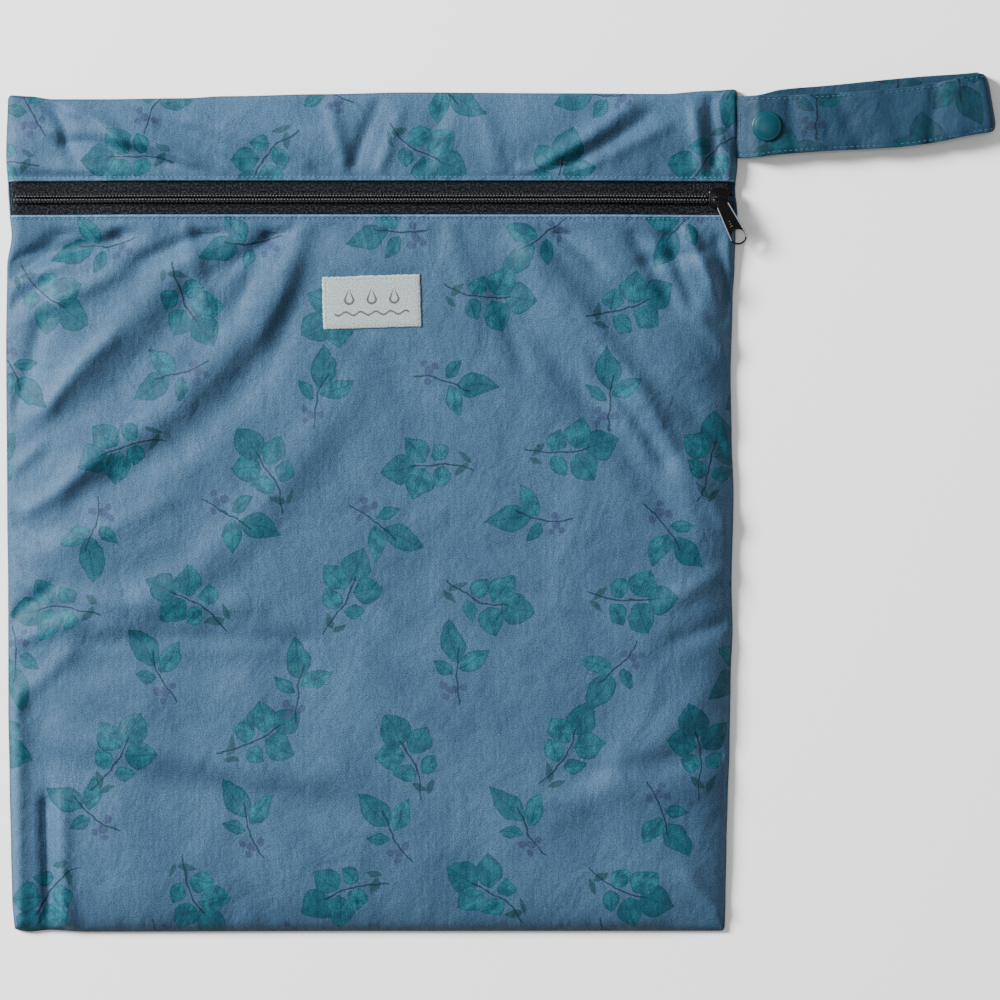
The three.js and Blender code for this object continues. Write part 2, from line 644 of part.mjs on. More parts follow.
// The label lies on the lower front and follows its folds.
function label() {
  const turn = THREE.MathUtils.degToRad(labelTurn);
  const cellsAlong = 8;
  const cellsAside = 4;
  return closedSheet(cellsAlong, cellsAside, (along, aside) => {
    const across = (along / cellsAlong - 0.5) * labelWidth;
    const up = (aside / cellsAside - 0.5) * labelHeight;
    const x = labelAcross + across * Math.cos(turn) - up * Math.sin(turn);
    const y = labelUp + across * Math.sin(turn) + up * Math.cos(turn);
    const low = frontAt(x, y) + clothThickness + pieceGap;
    return [[x, y, low + labelThickness], [x, y, low]];
  });
}

addMesh('back_panel', backPanel(), 0x5f86a3, 0.6, 0);
addMesh('front_lower_panel', lowerPanel(), 0x6089a8, 0.6, 0);
addMesh('front_upper_panel', upperPanel(), 0x5a819e, 0.6, 0);
addMesh('zip_tape_upper', zipTape(1), 0x14161a, 0.85, 0);
addMesh('zip_tape_lower', zipTape(-1), 0x14161a, 0.85, 0);
addMesh('zip_coil_upper', zipCoil(1), 0x0d0e10, 0.5, 0);
addMesh('zip_coil_lower', zipCoil(-1), 0x0d0e10, 0.5, 0);
addMesh('zip_slider', zipSlider(), 0x0b0b0d, 0.35, 0.6);
addMesh('zip_pull', zipPull(), 0x0b0b0d, 0.35, 0.6);
addMesh('strap', strap(), 0x3d6480, 0.6, 0);
addMesh('snap_cap', snapCap(), 0x1f6f80, 0.25, 0);
addMesh('snap_socket', snapSocket(), 0x1f6f80, 0.3, 0);
addMesh('snap_stud', snapStud(), 0x1f6f80, 0.3, 0);
addMesh('snap_back_cap', snapBackCap(), 0x1f6f80, 0.25, 0);
addMesh('label', label(), 0xe6e2d8, 0.8, 0);

export default group;
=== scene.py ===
import math

import bmesh
import bpy
import numpy as np
from mathutils import Matrix, Vector


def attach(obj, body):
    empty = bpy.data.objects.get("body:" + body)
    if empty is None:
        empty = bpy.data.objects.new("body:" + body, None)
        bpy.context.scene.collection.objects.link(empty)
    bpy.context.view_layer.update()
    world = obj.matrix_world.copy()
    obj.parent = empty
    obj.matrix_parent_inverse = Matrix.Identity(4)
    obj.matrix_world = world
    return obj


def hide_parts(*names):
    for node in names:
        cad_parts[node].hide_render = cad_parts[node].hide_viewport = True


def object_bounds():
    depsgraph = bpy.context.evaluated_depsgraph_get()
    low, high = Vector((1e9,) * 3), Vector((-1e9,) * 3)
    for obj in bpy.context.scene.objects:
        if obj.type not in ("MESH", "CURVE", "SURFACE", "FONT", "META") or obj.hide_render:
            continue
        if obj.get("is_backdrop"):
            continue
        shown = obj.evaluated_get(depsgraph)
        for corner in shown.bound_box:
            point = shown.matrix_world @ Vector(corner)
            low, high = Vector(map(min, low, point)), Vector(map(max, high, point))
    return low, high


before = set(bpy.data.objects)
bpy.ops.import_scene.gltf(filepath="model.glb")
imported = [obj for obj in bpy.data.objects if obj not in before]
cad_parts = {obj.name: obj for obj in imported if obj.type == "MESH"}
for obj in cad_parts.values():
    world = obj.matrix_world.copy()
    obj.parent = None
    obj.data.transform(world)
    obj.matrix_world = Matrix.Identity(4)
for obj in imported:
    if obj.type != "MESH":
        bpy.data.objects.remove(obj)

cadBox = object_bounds()

# A wet bag lying on its back. Sizes are in millimetres and become metres in the meshes.

bag = {
    "width": 303, "height": 349, "cloth": 1.0, "gap": 0.3, "crown": 8.6, "edgeRoll": 12, "leftRoll": 18,
    "foldDepth": 0.9, "seamRadius": 2.6, "seamLine": 0.9, "corner": 1.6, "cornerDraw": 0.3,
}
zipper = {
    "fromTop": 45.5, "levelEnds": 3.2, "levelMiddle": 7.0, "levelRun": 60, "edgeRun": 3.2,
    "stiffMargin": 1.0, "stiffFade": 17, "tape": 0.8, "tapeWidth": 12, "showing": 6.9, "endInset": 1.4,
    "coilWidth": 4.1, "coilHeight": 1.5, "wire": 0.52, "pitch": 1.08,
}
slider = {
    "fromRight": 8.1, "length": 8.0, "width": 8.2, "plate": 0.9, "lip": 0.8, "post": 1.5,
    "postLength": 1.9, "postForward": 0.28, "plateCorner": 2.3, "plateEdge": 0.25, "sunk": 0.3,
    "bar": 0.9, "leg": 1.0, "rise": 1.95, "bend": 0.55,
}
pull = {
    "length": 21.4, "topWidth": 5.3, "ringWidth": 7.2, "hole": 5.6, "thickness": 1.1,
    "shoulder": 1.0, "turn": 27, "droop": 8, "rimRadius": 0.26, "rimTurn": (0.15, 0.6),
    "bars": 3, "barLength": 3.4, "barTaper": 0.2, "barWidth": 0.4, "barRise": 0.24, "barStep": 1.1,
    "barStart": 1.2, "knuckle": 3.0, "knuckleWall": 0.5, "knuckleBevel": 0.15,
}
strap = {
    "reach": 105.2, "width": 24.4, "thickness": 1.2, "fromTop": 15.9, "tuck": 5, "loopRoom": 5.0,
    "rise": 5.6, "freeEnd": 4.8, "slant": 0.17, "settle": 17.36, "pinch": 0.03, "cornerDraw": 0.45,
    "stitchIn": 1.35, "stitchStep": 2.25, "grooveDepth": 0.22, "edgeRound": 0.25, "printShift": 61.0,
}
snap = {
    "width": 12.4, "fromSeam": 11.7, "cap": 1.7, "back": 1.2, "stud": 10.4, "studBase": 0.8,
    "knob": 4.4, "knobRise": 1.0, "socket": 1.5,
}
patch = {
    "width": 40.5, "height": 21.6, "thickness": 0.45, "across": 0.3, "fromTop": 88.6, "turn": 1.7,
    "stiffness": 0.85, "columns": 60, "rows": 34, "stitchIn": 1.2,
}

leftMost, rightMost = -bag["width"] / 2, bag["width"] / 2
bottomMost, topMost = -bag["height"] / 2, bag["height"] / 2
seamLevel = bag["cloth"] + bag["gap"]
zipY = topMost - zipper["fromTop"]
hemLower, hemUpper = zipY - zipper["showing"], zipY + zipper["showing"]
strapY = topMost - strap["fromTop"]
patchY = topMost - patch["fromTop"]

# How far the seam stands in from the widest place, as shares of width and height.
leftEdge = [
    {"up": 0.0, "inset": 0.0115}, {"up": 0.04, "inset": 0.0082}, {"up": 0.1, "inset": 0.0066},
    {"up": 0.17, "inset": 0.0048}, {"up": 0.27, "inset": 0.003}, {"up": 0.41, "inset": 0.0027},
    {"up": 0.5, "inset": 0.0014}, {"up": 0.7, "inset": 0.0}, {"up": 0.79, "inset": 0.0014},
    {"up": 0.826, "inset": 0.0075}, {"up": 0.855, "inset": 0.0045}, {"up": 0.88, "inset": 0.0027},
    {"up": 0.92, "inset": 0.0}, {"up": 1.0, "inset": 0.0027},
]
rightEdge = [
    {"up": 0.0, "inset": 0.0175}, {"up": 0.04, "inset": 0.0164}, {"up": 0.11, "inset": 0.015},
    {"up": 0.15, "inset": 0.0136}, {"up": 0.22, "inset": 0.0109}, {"up": 0.3, "inset": 0.0095},
    {"up": 0.36, "inset": 0.0068}, {"up": 0.41, "inset": 0.0082}, {"up": 0.52, "inset": 0.0055},
    {"up": 0.59, "inset": 0.0082}, {"up": 0.66, "inset": 0.0095}, {"up": 0.75, "inset": 0.0068},
    {"up": 0.79, "inset": 0.0041}, {"up": 0.83, "inset": 0.0027}, {"up": 0.852, "inset": 0.0},
    {"up": 0.88, "inset": 0.0032}, {"up": 0.914, "inset": 0.0}, {"up": 1.0, "inset": 0.0},
]
topEdge = [
    {"across": 0.0, "inset": 0.0071}, {"across": 0.03, "inset": 0.0085}, {"across": 0.06, "inset": 0.0119},
    {"across": 0.13, "inset": 0.0119}, {"across": 0.24, "inset": 0.0107}, {"across": 0.3, "inset": 0.0083},
    {"across": 0.43, "inset": 0.0059}, {"across": 0.55, "inset": 0.0038}, {"across": 0.76, "inset": 0.0048},
    {"across": 0.9, "inset": 0.0056}, {"across": 0.96, "inset": 0.002}, {"across": 1.0, "inset": 0.0},
]
bottomEdge = [
    {"across": 0.0, "inset": 0.0024}, {"across": 0.02, "inset": 0.0}, {"across": 0.05, "inset": 0.0022},
    {"across": 0.1, "inset": 0.0}, {"across": 0.5, "inset": 0.0008}, {"across": 1.0, "inset": 0.001},
]

# Folds of the front: from and to in shares of width and height, bow and reach in shares of the width,
# rise in shares of the crown.
foldColumns = ("fromAcross", "fromUp", "toAcross", "toUp", "bow", "reach", "rise")
folds = [dict(zip(foldColumns, row)) for row in [
    (0.064, 0.631, 0.247, 0.794, 0.0, 0.024, 0.27),
    (0.06, 0.6, 0.262, 0.765, -0.02, 0.022, -0.22),
    (0.1, 0.548, 0.39, 0.787, -0.026, 0.024, 0.31),
    (0.11, 0.52, 0.41, 0.755, -0.04, 0.024, -0.24),
    (0.105, 0.356, 0.43, 0.595, -0.037, 0.028, 0.28),
    (0.09, 0.318, 0.39, 0.318, 0.0, 0.028, -0.22),
    (0.087, 0.232, 0.4, 0.184, 0.0, 0.026, 0.24),
    (0.09, 0.2, 0.44, 0.152, 0.0, 0.024, -0.18),
    (0.73, 0.79, 0.928, 0.524, 0.0, 0.022, 0.3),
    (0.69, 0.75, 0.902, 0.508, 0.0, 0.02, -0.22),
    (0.842, 0.19, 0.97, 0.29, 0.0, 0.022, 0.2),
    (0.79, 0.16, 0.97, 0.178, 0.0, 0.022, 0.16),
    (0.053, 0.03, 0.053, 0.28, 0.0, 0.022, -0.2),
    (0.06, 0.45, 0.19, 0.466, 0.0, 0.024, 0.16),
    (0.045, 0.99, 0.06, 0.93, 0.0, 0.016, -0.16),
    (0.1, 0.965, 0.24, 0.905, 0.0, 0.018, 0.14),
    (0.755, 0.9, 0.86, 0.98, 0.0, 0.02, 0.16),
    (0.965, 0.91, 0.965, 0.98, 0.0, 0.016, 0.16),
]]

# Smaller creases, with the same columns: along the side seams, below and above the zip, beside the
# long folds.
creases = [dict(zip(foldColumns, row)) for row in [
    (0.021, 0.794, 0.089, 0.834, 0.0, 0.011, -0.14),
    (0.01, 0.767, 0.078, 0.794, 0.006, 0.009, 0.1),
    (0.004, 0.742, 0.055, 0.769, 0.0, 0.009, -0.1),
    (0.064, 0.626, 0.141, 0.699, 0.004, 0.011, 0.12),
    (0.012, 0.548, 0.04, 0.569, 0.0, 0.009, 0.09),
    (0.038, 0.504, 0.113, 0.552, -0.006, 0.012, 0.12),
    (0.011, 0.493, 0.051, 0.464, 0.0, 0.01, -0.11),
    (0.01, 0.423, 0.051, 0.403, 0.0, 0.01, 0.1),
    (0.01, 0.374, 0.059, 0.406, 0.0, 0.01, -0.12),
    (0.066, 0.461, 0.205, 0.504, -0.008, 0.016, 0.1),
    (0.016, 0.268, 0.014, 0.0, 0.0, 0.014, 0.2),
    (0.078, 0.143, 0.083, 0.009, 0.0, 0.012, 0.15),
    (0.056, 0.15, 0.06, 0.0, 0.0, 0.008, -0.22),
    (0.722, 0.798, 0.87, 0.63, 0.0, 0.02, 0.18),
    (0.744, 0.768, 0.905, 0.567, 0.0, 0.014, -0.16),
    (0.018, 0.275, 0.078, 0.323, 0.0, 0.012, 0.08),
    (0.25, 0.825, 0.273, 0.749, 0.0, 0.012, 0.1),
    (0.359, 0.82, 0.321, 0.749, 0.0, 0.012, -0.08),
    (0.403, 0.822, 0.351, 0.714, 0.006, 0.014, 0.1),
    (0.61, 0.82, 0.634, 0.749, 0.0, 0.014, 0.06),
    (0.812, 0.664, 0.894, 0.56, 0.004, 0.012, -0.16),
    (0.861, 0.645, 0.915, 0.56, 0.0, 0.011, 0.14),
    (0.935, 0.825, 0.963, 0.768, 0.0, 0.009, 0.2),
    (0.973, 0.815, 0.989, 0.735, 0.0, 0.009, -0.14),
    (0.905, 0.822, 0.935, 0.749, 0.0, 0.01, -0.12),
    (0.948, 0.725, 0.986, 0.687, 0.0, 0.01, 0.1),
    (0.943, 0.607, 0.985, 0.569, 0.0, 0.012, -0.1),
    (0.935, 0.548, 0.981, 0.489, 0.0, 0.012, 0.1),
    (0.828, 0.197, 0.873, 0.269, 0.0, 0.014, 0.04),
    (0.812, 0.192, 0.978, 0.214, 0.0, 0.014, -0.07),
    (0.91, 0.394, 0.978, 0.429, 0.0, 0.013, 0.1),
    (0.921, 0.346, 0.981, 0.368, 0.0, 0.012, -0.1),
    (0.935, 0.062, 0.978, 0.024, 0.0, 0.01, 0.1),
    (0.011, 0.909, 0.113, 0.899, 0.0, 0.009, 0.12),
    (0.048, 0.986, 0.083, 0.936, 0.01, 0.009, -0.16),
    (0.083, 0.936, 0.239, 0.898, 0.012, 0.009, -0.14),
    (0.093, 0.974, 0.157, 0.935, 0.008, 0.009, 0.14),
    (0.157, 0.939, 0.259, 0.912, 0.006, 0.009, 0.14),
    (0.22, 0.954, 0.359, 0.905, 0.004, 0.01, -0.12),
    (0.261, 0.965, 0.403, 0.915, 0.004, 0.01, 0.1),
    (0.443, 0.984, 0.463, 0.903, 0.0, 0.01, 0.1),
    (0.506, 0.976, 0.473, 0.901, 0.0, 0.009, -0.1),
    (0.536, 0.962, 0.512, 0.903, 0.0, 0.009, 0.1),
    (0.712, 0.898, 0.85, 0.978, -0.004, 0.01, 0.14),
    (0.739, 0.898, 0.869, 0.962, -0.004, 0.009, -0.12),
    (0.782, 0.901, 0.899, 0.953, 0.0, 0.009, 0.08),
    (0.94, 0.972, 0.95, 0.898, 0.0, 0.008, 0.14),
    (0.963, 0.986, 0.967, 0.898, 0.0, 0.008, -0.14),
    (0.648, 0.981, 0.675, 0.905, 0.0, 0.011, 0.06),
    (0.594, 0.974, 0.572, 0.905, 0.0, 0.011, -0.06),
    (0.004, 0.78, 0.146, 0.82, 0.006, 0.014, -0.3),
    (0.182, 0.792, 0.285, 0.831, 0.0, 0.012, -0.2),
    (0.075, 0.749, 0.168, 0.787, 0.0, 0.013, 0.14),
    (0.127, 0.822, 0.154, 0.837, 0.0, 0.009, 0.12),
    (0.315, 0.794, 0.383, 0.834, 0.0, 0.011, -0.14),
    (0.757, 0.83, 0.801, 0.794, 0.0, 0.011, -0.14),
    (0.866, 0.813, 0.905, 0.754, 0.0, 0.012, -0.16),
    (0.88, 0.794, 0.948, 0.806, 0.0, 0.01, -0.12),
    (0.724, 0.794, 0.752, 0.749, 0.0, 0.012, 0.16),
    (0.675, 0.749, 0.703, 0.678, 0.0, 0.012, -0.08),
    (0.048, 0.714, 0.021, 0.631, 0.0, 0.012, -0.14),
    (0.021, 0.346, 0.089, 0.368, 0.0, 0.011, 0.12),
    (0.124, 0.346, 0.403, 0.346, 0.004, 0.014, -0.1),
    (0.13, 0.394, 0.321, 0.387, 0.0, 0.016, 0.1),
]]

# Slow unevenness of the front, as hills of random height.
hills = [
    {"height": 0.4, "size": 26, "seed": 3}, {"height": 0.16, "size": 11, "seed": 4},
]

# Ripples of the loose cloth, drawn out along a slant.
ripples = [
    {"height": 0.5, "size": 19.0, "seed": 49, "across": 0.9, "up": 0.6, "slant": 0.5},
    {"height": 0.16, "size": 8.5, "seed": 47, "across": 1.0, "up": 1.0, "slant": 0.4},
    {"height": 0.04, "size": 3.4, "seed": 48, "across": 1.0, "up": 1.0, "slant": 0.0},
]

# Puckers that run in from each seam and from both hems.
seamPuckers = {
    "left": {"height": 0.42, "reach": 9, "beat": 6.5, "seed": 41},
    "right": {"height": 0.34, "reach": 8, "beat": 7.5, "seed": 42},
    "top": {"height": 0.3, "reach": 6, "beat": 4.6, "seed": 43},
    "bottom": {"height": 0.3, "reach": 8, "beat": 8.0, "seed": 44},
}
hemPuckers = {
    "height": 0.34, "middle": 5, "reach": 6, "upperBeat": 4.2, "upperSeed": 45, "lowerBeat": 6.0,
    "lowerSeed": 46, "calm": 2.0, "patchCalm": 5, "edgeCalm": (0.5, 4.0), "creaseGain": 1.7,
}

strapTable = [
    {"out": -0.05, "lift": 0.0, "backLift": 0.004, "flare": 1.06},
    {"out": 0.07, "lift": 0.0, "backLift": 0.004, "flare": 1.05},
    {"out": 0.17, "lift": 0.006, "backLift": 0.032, "flare": 1.0},
    {"out": 0.38, "lift": 0.018, "backLift": 0.054, "flare": 0.98},
    {"out": 0.6, "lift": 0.031, "backLift": 0.074, "flare": 0.99},
    {"out": 0.75, "lift": 0.05, "backLift": 0.087, "flare": 0.99},
    {"out": 0.9, "lift": 0.079, "backLift": 0.098, "flare": 0.98},
    {"out": 1.0, "lift": 0.098, "backLift": 0.103, "flare": 1.02},
]


# Shaping helpers, all of them for whole arrays.

def mix(low, high, share):
    return low + (high - low) * share


def ramp(start, end, value):
    share = np.clip((value - start) / (end - start), 0, 1)
    return share * share * (3 - 2 * share)


def readTable(table, column, at):
    key = next(iter(table[0]))
    stations = np.array([row[key] for row in table])
    values = np.array([row[column] for row in table])
    at = np.clip(at, stations[0], stations[-1])
    low = np.clip(np.searchsorted(stations, at, "right") - 1, 0, len(table) - 2)
    return mix(values[low], values[low + 1], ramp(stations[low], stations[low + 1], at))


def readCurve(table, column, at):
    # The same without level joins.
    key = next(iter(table[0]))
    stations = np.array([row[key] for row in table])
    values = np.array([row[column] for row in table])
    last = len(table) - 1
    before, beyond = np.maximum(np.arange(last + 1) - 1, 0), np.minimum(np.arange(last + 1) + 1, last)
    slopes = (values[beyond] - values[before]) / (stations[beyond] - stations[before])
    at = np.clip(at, stations[0], stations[-1])
    low = np.clip(np.searchsorted(stations, at, "right") - 1, 0, last - 1)
    span = stations[low + 1] - stations[low]
    share = (at - stations[low]) / span
    bend = (1 - share) * slopes[low] - share * slopes[low + 1]
    return mix(values[low], values[low + 1], ramp(0, 1, share)) + share * (1 - share) * bend * span


def leftAt(y):
    return leftMost + bag["width"] * readTable(leftEdge, "inset", (y - bottomMost) / bag["height"])


def rightAt(y):
    return rightMost - bag["width"] * readTable(rightEdge, "inset", (y - bottomMost) / bag["height"])


def topAt(x):
    return topMost - bag["height"] * readTable(topEdge, "inset", (x - leftMost) / bag["width"])


def bottomAt(x):
    return bottomMost + bag["height"] * readTable(bottomEdge, "inset", (x - leftMost) / bag["width"])


def softNoise(x, y, size, seed):
    # Smooth random heights from -1 to 1, with hills about size across.
    lattice = np.random.default_rng(seed).uniform(-1, 1, (64, 64))
    gx, gy = np.asarray(x) / size + 17.3, np.asarray(y) / size + 23.7
    ix, iy = np.floor(gx).astype(int), np.floor(gy).astype(int)
    sx, sy = ramp(0, 1, gx - ix), ramp(0, 1, gy - iy)
    corner = lambda i, j: lattice[(ix + i) % 64, (iy + j) % 64]
    return mix(mix(corner(0, 0), corner(1, 0), sx), mix(corner(0, 1), corner(1, 1), sx), sy)


def foldAt(fold, x, y):
    startX = leftMost + fold["fromAcross"] * bag["width"]
    startY = bottomMost + fold["fromUp"] * bag["height"]
    runX = leftMost + fold["toAcross"] * bag["width"] - startX
    runY = bottomMost + fold["toUp"] * bag["height"] - startY
    run = math.hypot(runX, runY)
    along = ((x - startX) * runX + (y - startY) * runY) / run ** 2
    aside = ((y - startY) * runX - (x - startX) * runY) / run
    within = np.clip(along, 0, 1)
    bowed = aside - fold["bow"] * bag["width"] * 4 * within * (1 - within)
    past = (along - within) * run
    reach = fold["reach"] * bag["width"]
    return fold["rise"] * bag["crown"] * np.exp(-(bowed ** 2 + past ** 2 / 4) / reach ** 2)


def fill(distance, roll=bag["edgeRoll"]):
    return 1 - np.exp(-np.maximum(0, distance) / roll)


def zipNear(y):
    stiff = zipper["tapeWidth"] + zipper["stiffMargin"]
    return 1 - ramp(stiff, stiff + zipper["stiffFade"], np.abs(y - zipY))


def zipLevel(x, y):
    inward = np.minimum(x - leftAt(y), rightAt(y) - x)
    level = mix(zipper["levelEnds"], zipper["levelMiddle"],
                ramp(slider["length"] * 1.6, zipper["levelRun"], inward))
    return mix(zipper["tape"] + bag["gap"], level, np.clip(inward / zipper["edgeRun"], 0, 1))


def underPatch(x, y, fadeAcross, fadeUp):
    halfWidth, halfHeight = patch["width"] / 2, patch["height"] / 2
    return ((1 - ramp(halfWidth, halfWidth + fadeAcross, np.abs(x - patch["across"])))
            * (1 - ramp(halfHeight, halfHeight + fadeUp, np.abs(y - patchY))))


def frontAt(x, y):
    # Height of the front cloth's inner face.
    right = rightAt(y) - x
    held = fill(x - leftAt(y), bag["leftRoll"]) * fill(right) * fill(y - bottomAt(x)) * fill(topAt(x) - y)
    free = held * (1 - patch["stiffness"] * underPatch(x, y, patch["width"] / 2, patch["height"]))
    puff = bag["crown"] * held
    for fold in folds:
        puff = puff + bag["foldDepth"] * foldAt(fold, x, y) * free
    for hill in hills:
        puff = puff + free * hill["height"] * softNoise(x, y, hill["size"], hill["seed"])
    strapNear = 1 - ramp(strap["width"] * 0.62, strap["width"], np.abs(y - strapY))
    root = (strap["thickness"] + bag["gap"]) * strapNear * (1 - ramp(0, strap["tuck"] * 3, right))
    return seamLevel + np.maximum(root, mix(puff, zipLevel(x, y), zipNear(y)))


def beat(along, size, seed):
    # Smooth random heights along one line.
    return softNoise(along, along * 0.37 + seed, size, seed)


def wrinkleAt(x, y):
    # What the visible front adds to the plain cloth: creases, puckers at seams and hems, and ripples.
    left, right, top, bottom = x - leftAt(y), rightAt(y) - x, topAt(x) - y, y - bottomAt(x)
    inward = {"left": left, "right": right, "top": top, "bottom": bottom}
    edge = np.minimum(np.minimum(left, right), np.minimum(top, bottom))
    fromHem = np.maximum(0, np.abs(y - zipY) - zipper["showing"])
    calm = np.exp(-(np.maximum(0, fromHem - hemPuckers["calm"]) / hemPuckers["calm"]) ** 2)
    covered = underPatch(x, y, hemPuckers["patchCalm"], hemPuckers["patchCalm"])
    free = ramp(*hemPuckers["edgeCalm"], edge) * (1 - calm) * (1 - covered)
    height = 0.0
    for crease in creases:
        height = height + hemPuckers["creaseGain"] * foldAt(crease, x, y)
    for side, pucker in seamPuckers.items():
        line = beat(y if side in ("left", "right") else x, pucker["beat"], pucker["seed"])
        height = height + pucker["height"] * np.exp(-inward[side] / pucker["reach"]) * line
    hemLine = np.where(y > zipY, beat(x, hemPuckers["upperBeat"], hemPuckers["upperSeed"]),
                       beat(x, hemPuckers["lowerBeat"], hemPuckers["lowerSeed"]))
    inHem = np.exp(-((fromHem - hemPuckers["middle"]) / hemPuckers["reach"]) ** 2)
    height = height + hemPuckers["height"] * inHem * hemLine
    for ripple in ripples:
        across = ripple["across"] * x + ripple["slant"] * y
        up = ripple["up"] * (y - ripple["slant"] * x)
        height = height + ripple["height"] * softNoise(across, up, ripple["size"], ripple["seed"])
    return free * height


# Mesh helpers.

def finishMesh(mesh, name, body, slotName, material, *nodes):
    for polygon in mesh.polygons:
        polygon.use_smooth = True
    mesh.materials.append(material)
    piece = bpy.data.objects.new(name, mesh)
    bpy.context.scene.collection.objects.link(piece)
    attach(piece, body)
    if nodes:
        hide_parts(*nodes)
    return piece


def clothGrid(name, columns, rows, place):
    # A grid whose points place(column, row) sets in millimetres, with the flat cloth as its UV map.
    shape = bmesh.new()
    bmesh.ops.create_grid(shape, x_segments=columns, y_segments=rows, size=0.5)
    mesh = bpy.data.meshes.new(name)
    shape.to_mesh(mesh)
    shape.free()
    count = len(mesh.vertices)
    start = np.empty(count * 3, np.float32)
    mesh.vertices.foreach_get("co", start)
    start = start.reshape(-1, 3)
    column = np.rint((start[:, 0] + 0.5) * columns).astype(int)
    row = np.rint((start[:, 1] + 0.5) * rows).astype(int)
    x, y, z, flatX, flatY = place(column, row)
    points = np.stack([x, y, z], axis=1) * 0.001
    mesh.vertices.foreach_set("co", points.astype(np.float32).ravel())
    cloth = mesh.uv_layers.new(name="cloth")
    corner = np.empty(len(mesh.loops), np.int32)
    mesh.loops.foreach_get("vertex_index", corner)
    flat = np.stack([flatX, flatY], axis=1)[corner] * 0.001
    cloth.data.foreach_set("uv", flat.astype(np.float32).ravel())
    mesh.update()
    return mesh


def thicken(piece, thickness, rounded=0.0):
    wall = piece.modifiers.new("wall", "SOLIDIFY")
    wall.thickness = thickness * 0.001
    wall.offset = -1
    if rounded:
        edge = piece.modifiers.new("edge", "BEVEL")
        edge.width = rounded * 0.001
        edge.segments = 2
        edge.limit_method = "ANGLE"
        edge.angle_limit = math.radians(50)


def stations(length, closeTo, step):
    # Distances from 0 to length, closely spaced near both ends as closeTo lists them.
    middle = length - 2 * closeTo[-1]
    count = max(2, round(middle / step))
    inner = [closeTo[-1] + middle * i / count for i in range(1, count)]
    return np.array(closeTo + inner + [length - near for near in reversed(closeTo)])


def stitchRow(name, places, length, width, material, body="bag", slotName="bag_cloth"):
    # Short rounded threads. Each place is a middle point, a direction along the row and the way up.
    shape = bmesh.new()
    for middle, along, up in places:
        ahead = Vector(along).normalized()
        aside = Vector(up).cross(ahead).normalized()
        over = ahead.cross(aside)
        turn = Matrix((ahead, aside, over)).transposed().to_4x4()
        size = Matrix.Diagonal((length / 2, width / 2, width / 2, 1))
        move = Matrix.Translation(Vector(middle))
        bmesh.ops.create_uvsphere(shape, u_segments=6, v_segments=4, radius=1,
                                  matrix=Matrix.Scale(0.001, 4) @ move @ turn @ size)
    mesh = bpy.data.meshes.new(name)
    shape.to_mesh(mesh)
    shape.free()
    return finishMesh(mesh, name, body, slotName, material)


def turnedPiece(name, profile, centre, slotName, material, node):
    # A half profile of (radius, height) pairs spun about an upright line through centre.
    shape = bmesh.new()
    points = [shape.verts.new((centre[0] + r, centre[1], centre[2] + h)) for r, h in profile]
    edges = [shape.edges.new(pair) for pair in zip(points, points[1:])]
    bmesh.ops.spin(shape, geom=points + edges, cent=centre, axis=(0, 0, 1), angle=2 * math.pi,
                   steps=48, use_merge=True)
    bmesh.ops.remove_doubles(shape, verts=shape.verts, dist=1e-4)
    bmesh.ops.recalc_face_normals(shape, faces=shape.faces)
    bmesh.ops.scale(shape, vec=(0.001, 0.001, 0.001), verts=shape.verts)
    mesh = bpy.data.meshes.new(name)
    shape.to_mesh(mesh)
    shape.free()
    return finishMesh(mesh, name, "bag", slotName, material, node)


# Material helpers.
def setInput(tree, node, key, value):
    if isinstance(value, bpy.types.NodeSocket):
        tree.links.new(value, node.inputs[key])
    else:
        node.inputs[key].default_value = value


def addNode(tree, kind, inputs=None, **settings):
    node = tree.nodes.new(kind)
    for key, value in settings.items():
        setattr(node, key, value)
    for key, value in (inputs or {}).items():
        setInput(tree, node, key, value)
    return node


def calc(tree, operation, *values, clamp=False):
    inputs = {index: value for index, value in enumerate(values)}
    return addNode(tree, "ShaderNodeMath", inputs, operation=operation, use_clamp=clamp).outputs[0]


def vectorCalc(tree, operation, *values, scale=None):
    inputs = {index: value for index, value in enumerate(values)}
    node = addNode(tree, "ShaderNodeVectorMath", inputs, operation=operation)
    if scale is not None:
        node.inputs["Scale"].default_value = scale
    return node.outputs[0]


def smoothMask(tree, value, low, high):
    node = addNode(tree, "ShaderNodeMapRange", {"Value": value, "From Min": low, "From Max": high},
                   interpolation_type="SMOOTHSTEP")
    return node.outputs["Result"]


def mixColour(tree, share, first, second, blend="MIX"):
    node = tree.nodes.new("ShaderNodeMix")
    node.data_type = "RGBA"
    node.blend_type = blend
    for index, value in ((0, share), (6, first), (7, second)):  # the factor, then both colour sockets
        setInput(tree, node, index, value)
    return node.outputs[2]


def noise(tree, vector, size, detail=2.0, rough=0.5, distort=0.0):
    node = addNode(tree, "ShaderNodeTexNoise", {"Vector": vector, "Scale": 1 / size, "Detail": detail,
                                                "Roughness": rough, "Distortion": distort})
    return node.outputs["Fac"]


def newGroup(name, inputs, outputs):
    group = bpy.data.node_groups.new(name, "ShaderNodeTree")
    for label, kind in inputs:
        group.interface.new_socket(label, in_out="INPUT", socket_type=kind)
    for label, kind in outputs:
        group.interface.new_socket(label, in_out="OUTPUT", socket_type=kind)
    return group, group.nodes.new("NodeGroupInput").outputs, group.nodes.new("NodeGroupOutput").inputs


def placeGroup(tree, group, inputs):
    node = addNode(tree, "ShaderNodeGroup", node_tree=group)
    for key, value in inputs.items():
        setInput(tree, node, key, value)
    return node.outputs


def linear(red, green, blue):
    # A screen colour from 0 to 255 as the light values that the shaders take.
    return tuple(((c / 255 + 0.055) / 1.055) ** 2.4 if c > 10 else c / 255 / 12.92
                 for c in (red, green, blue)) + (1.0,)


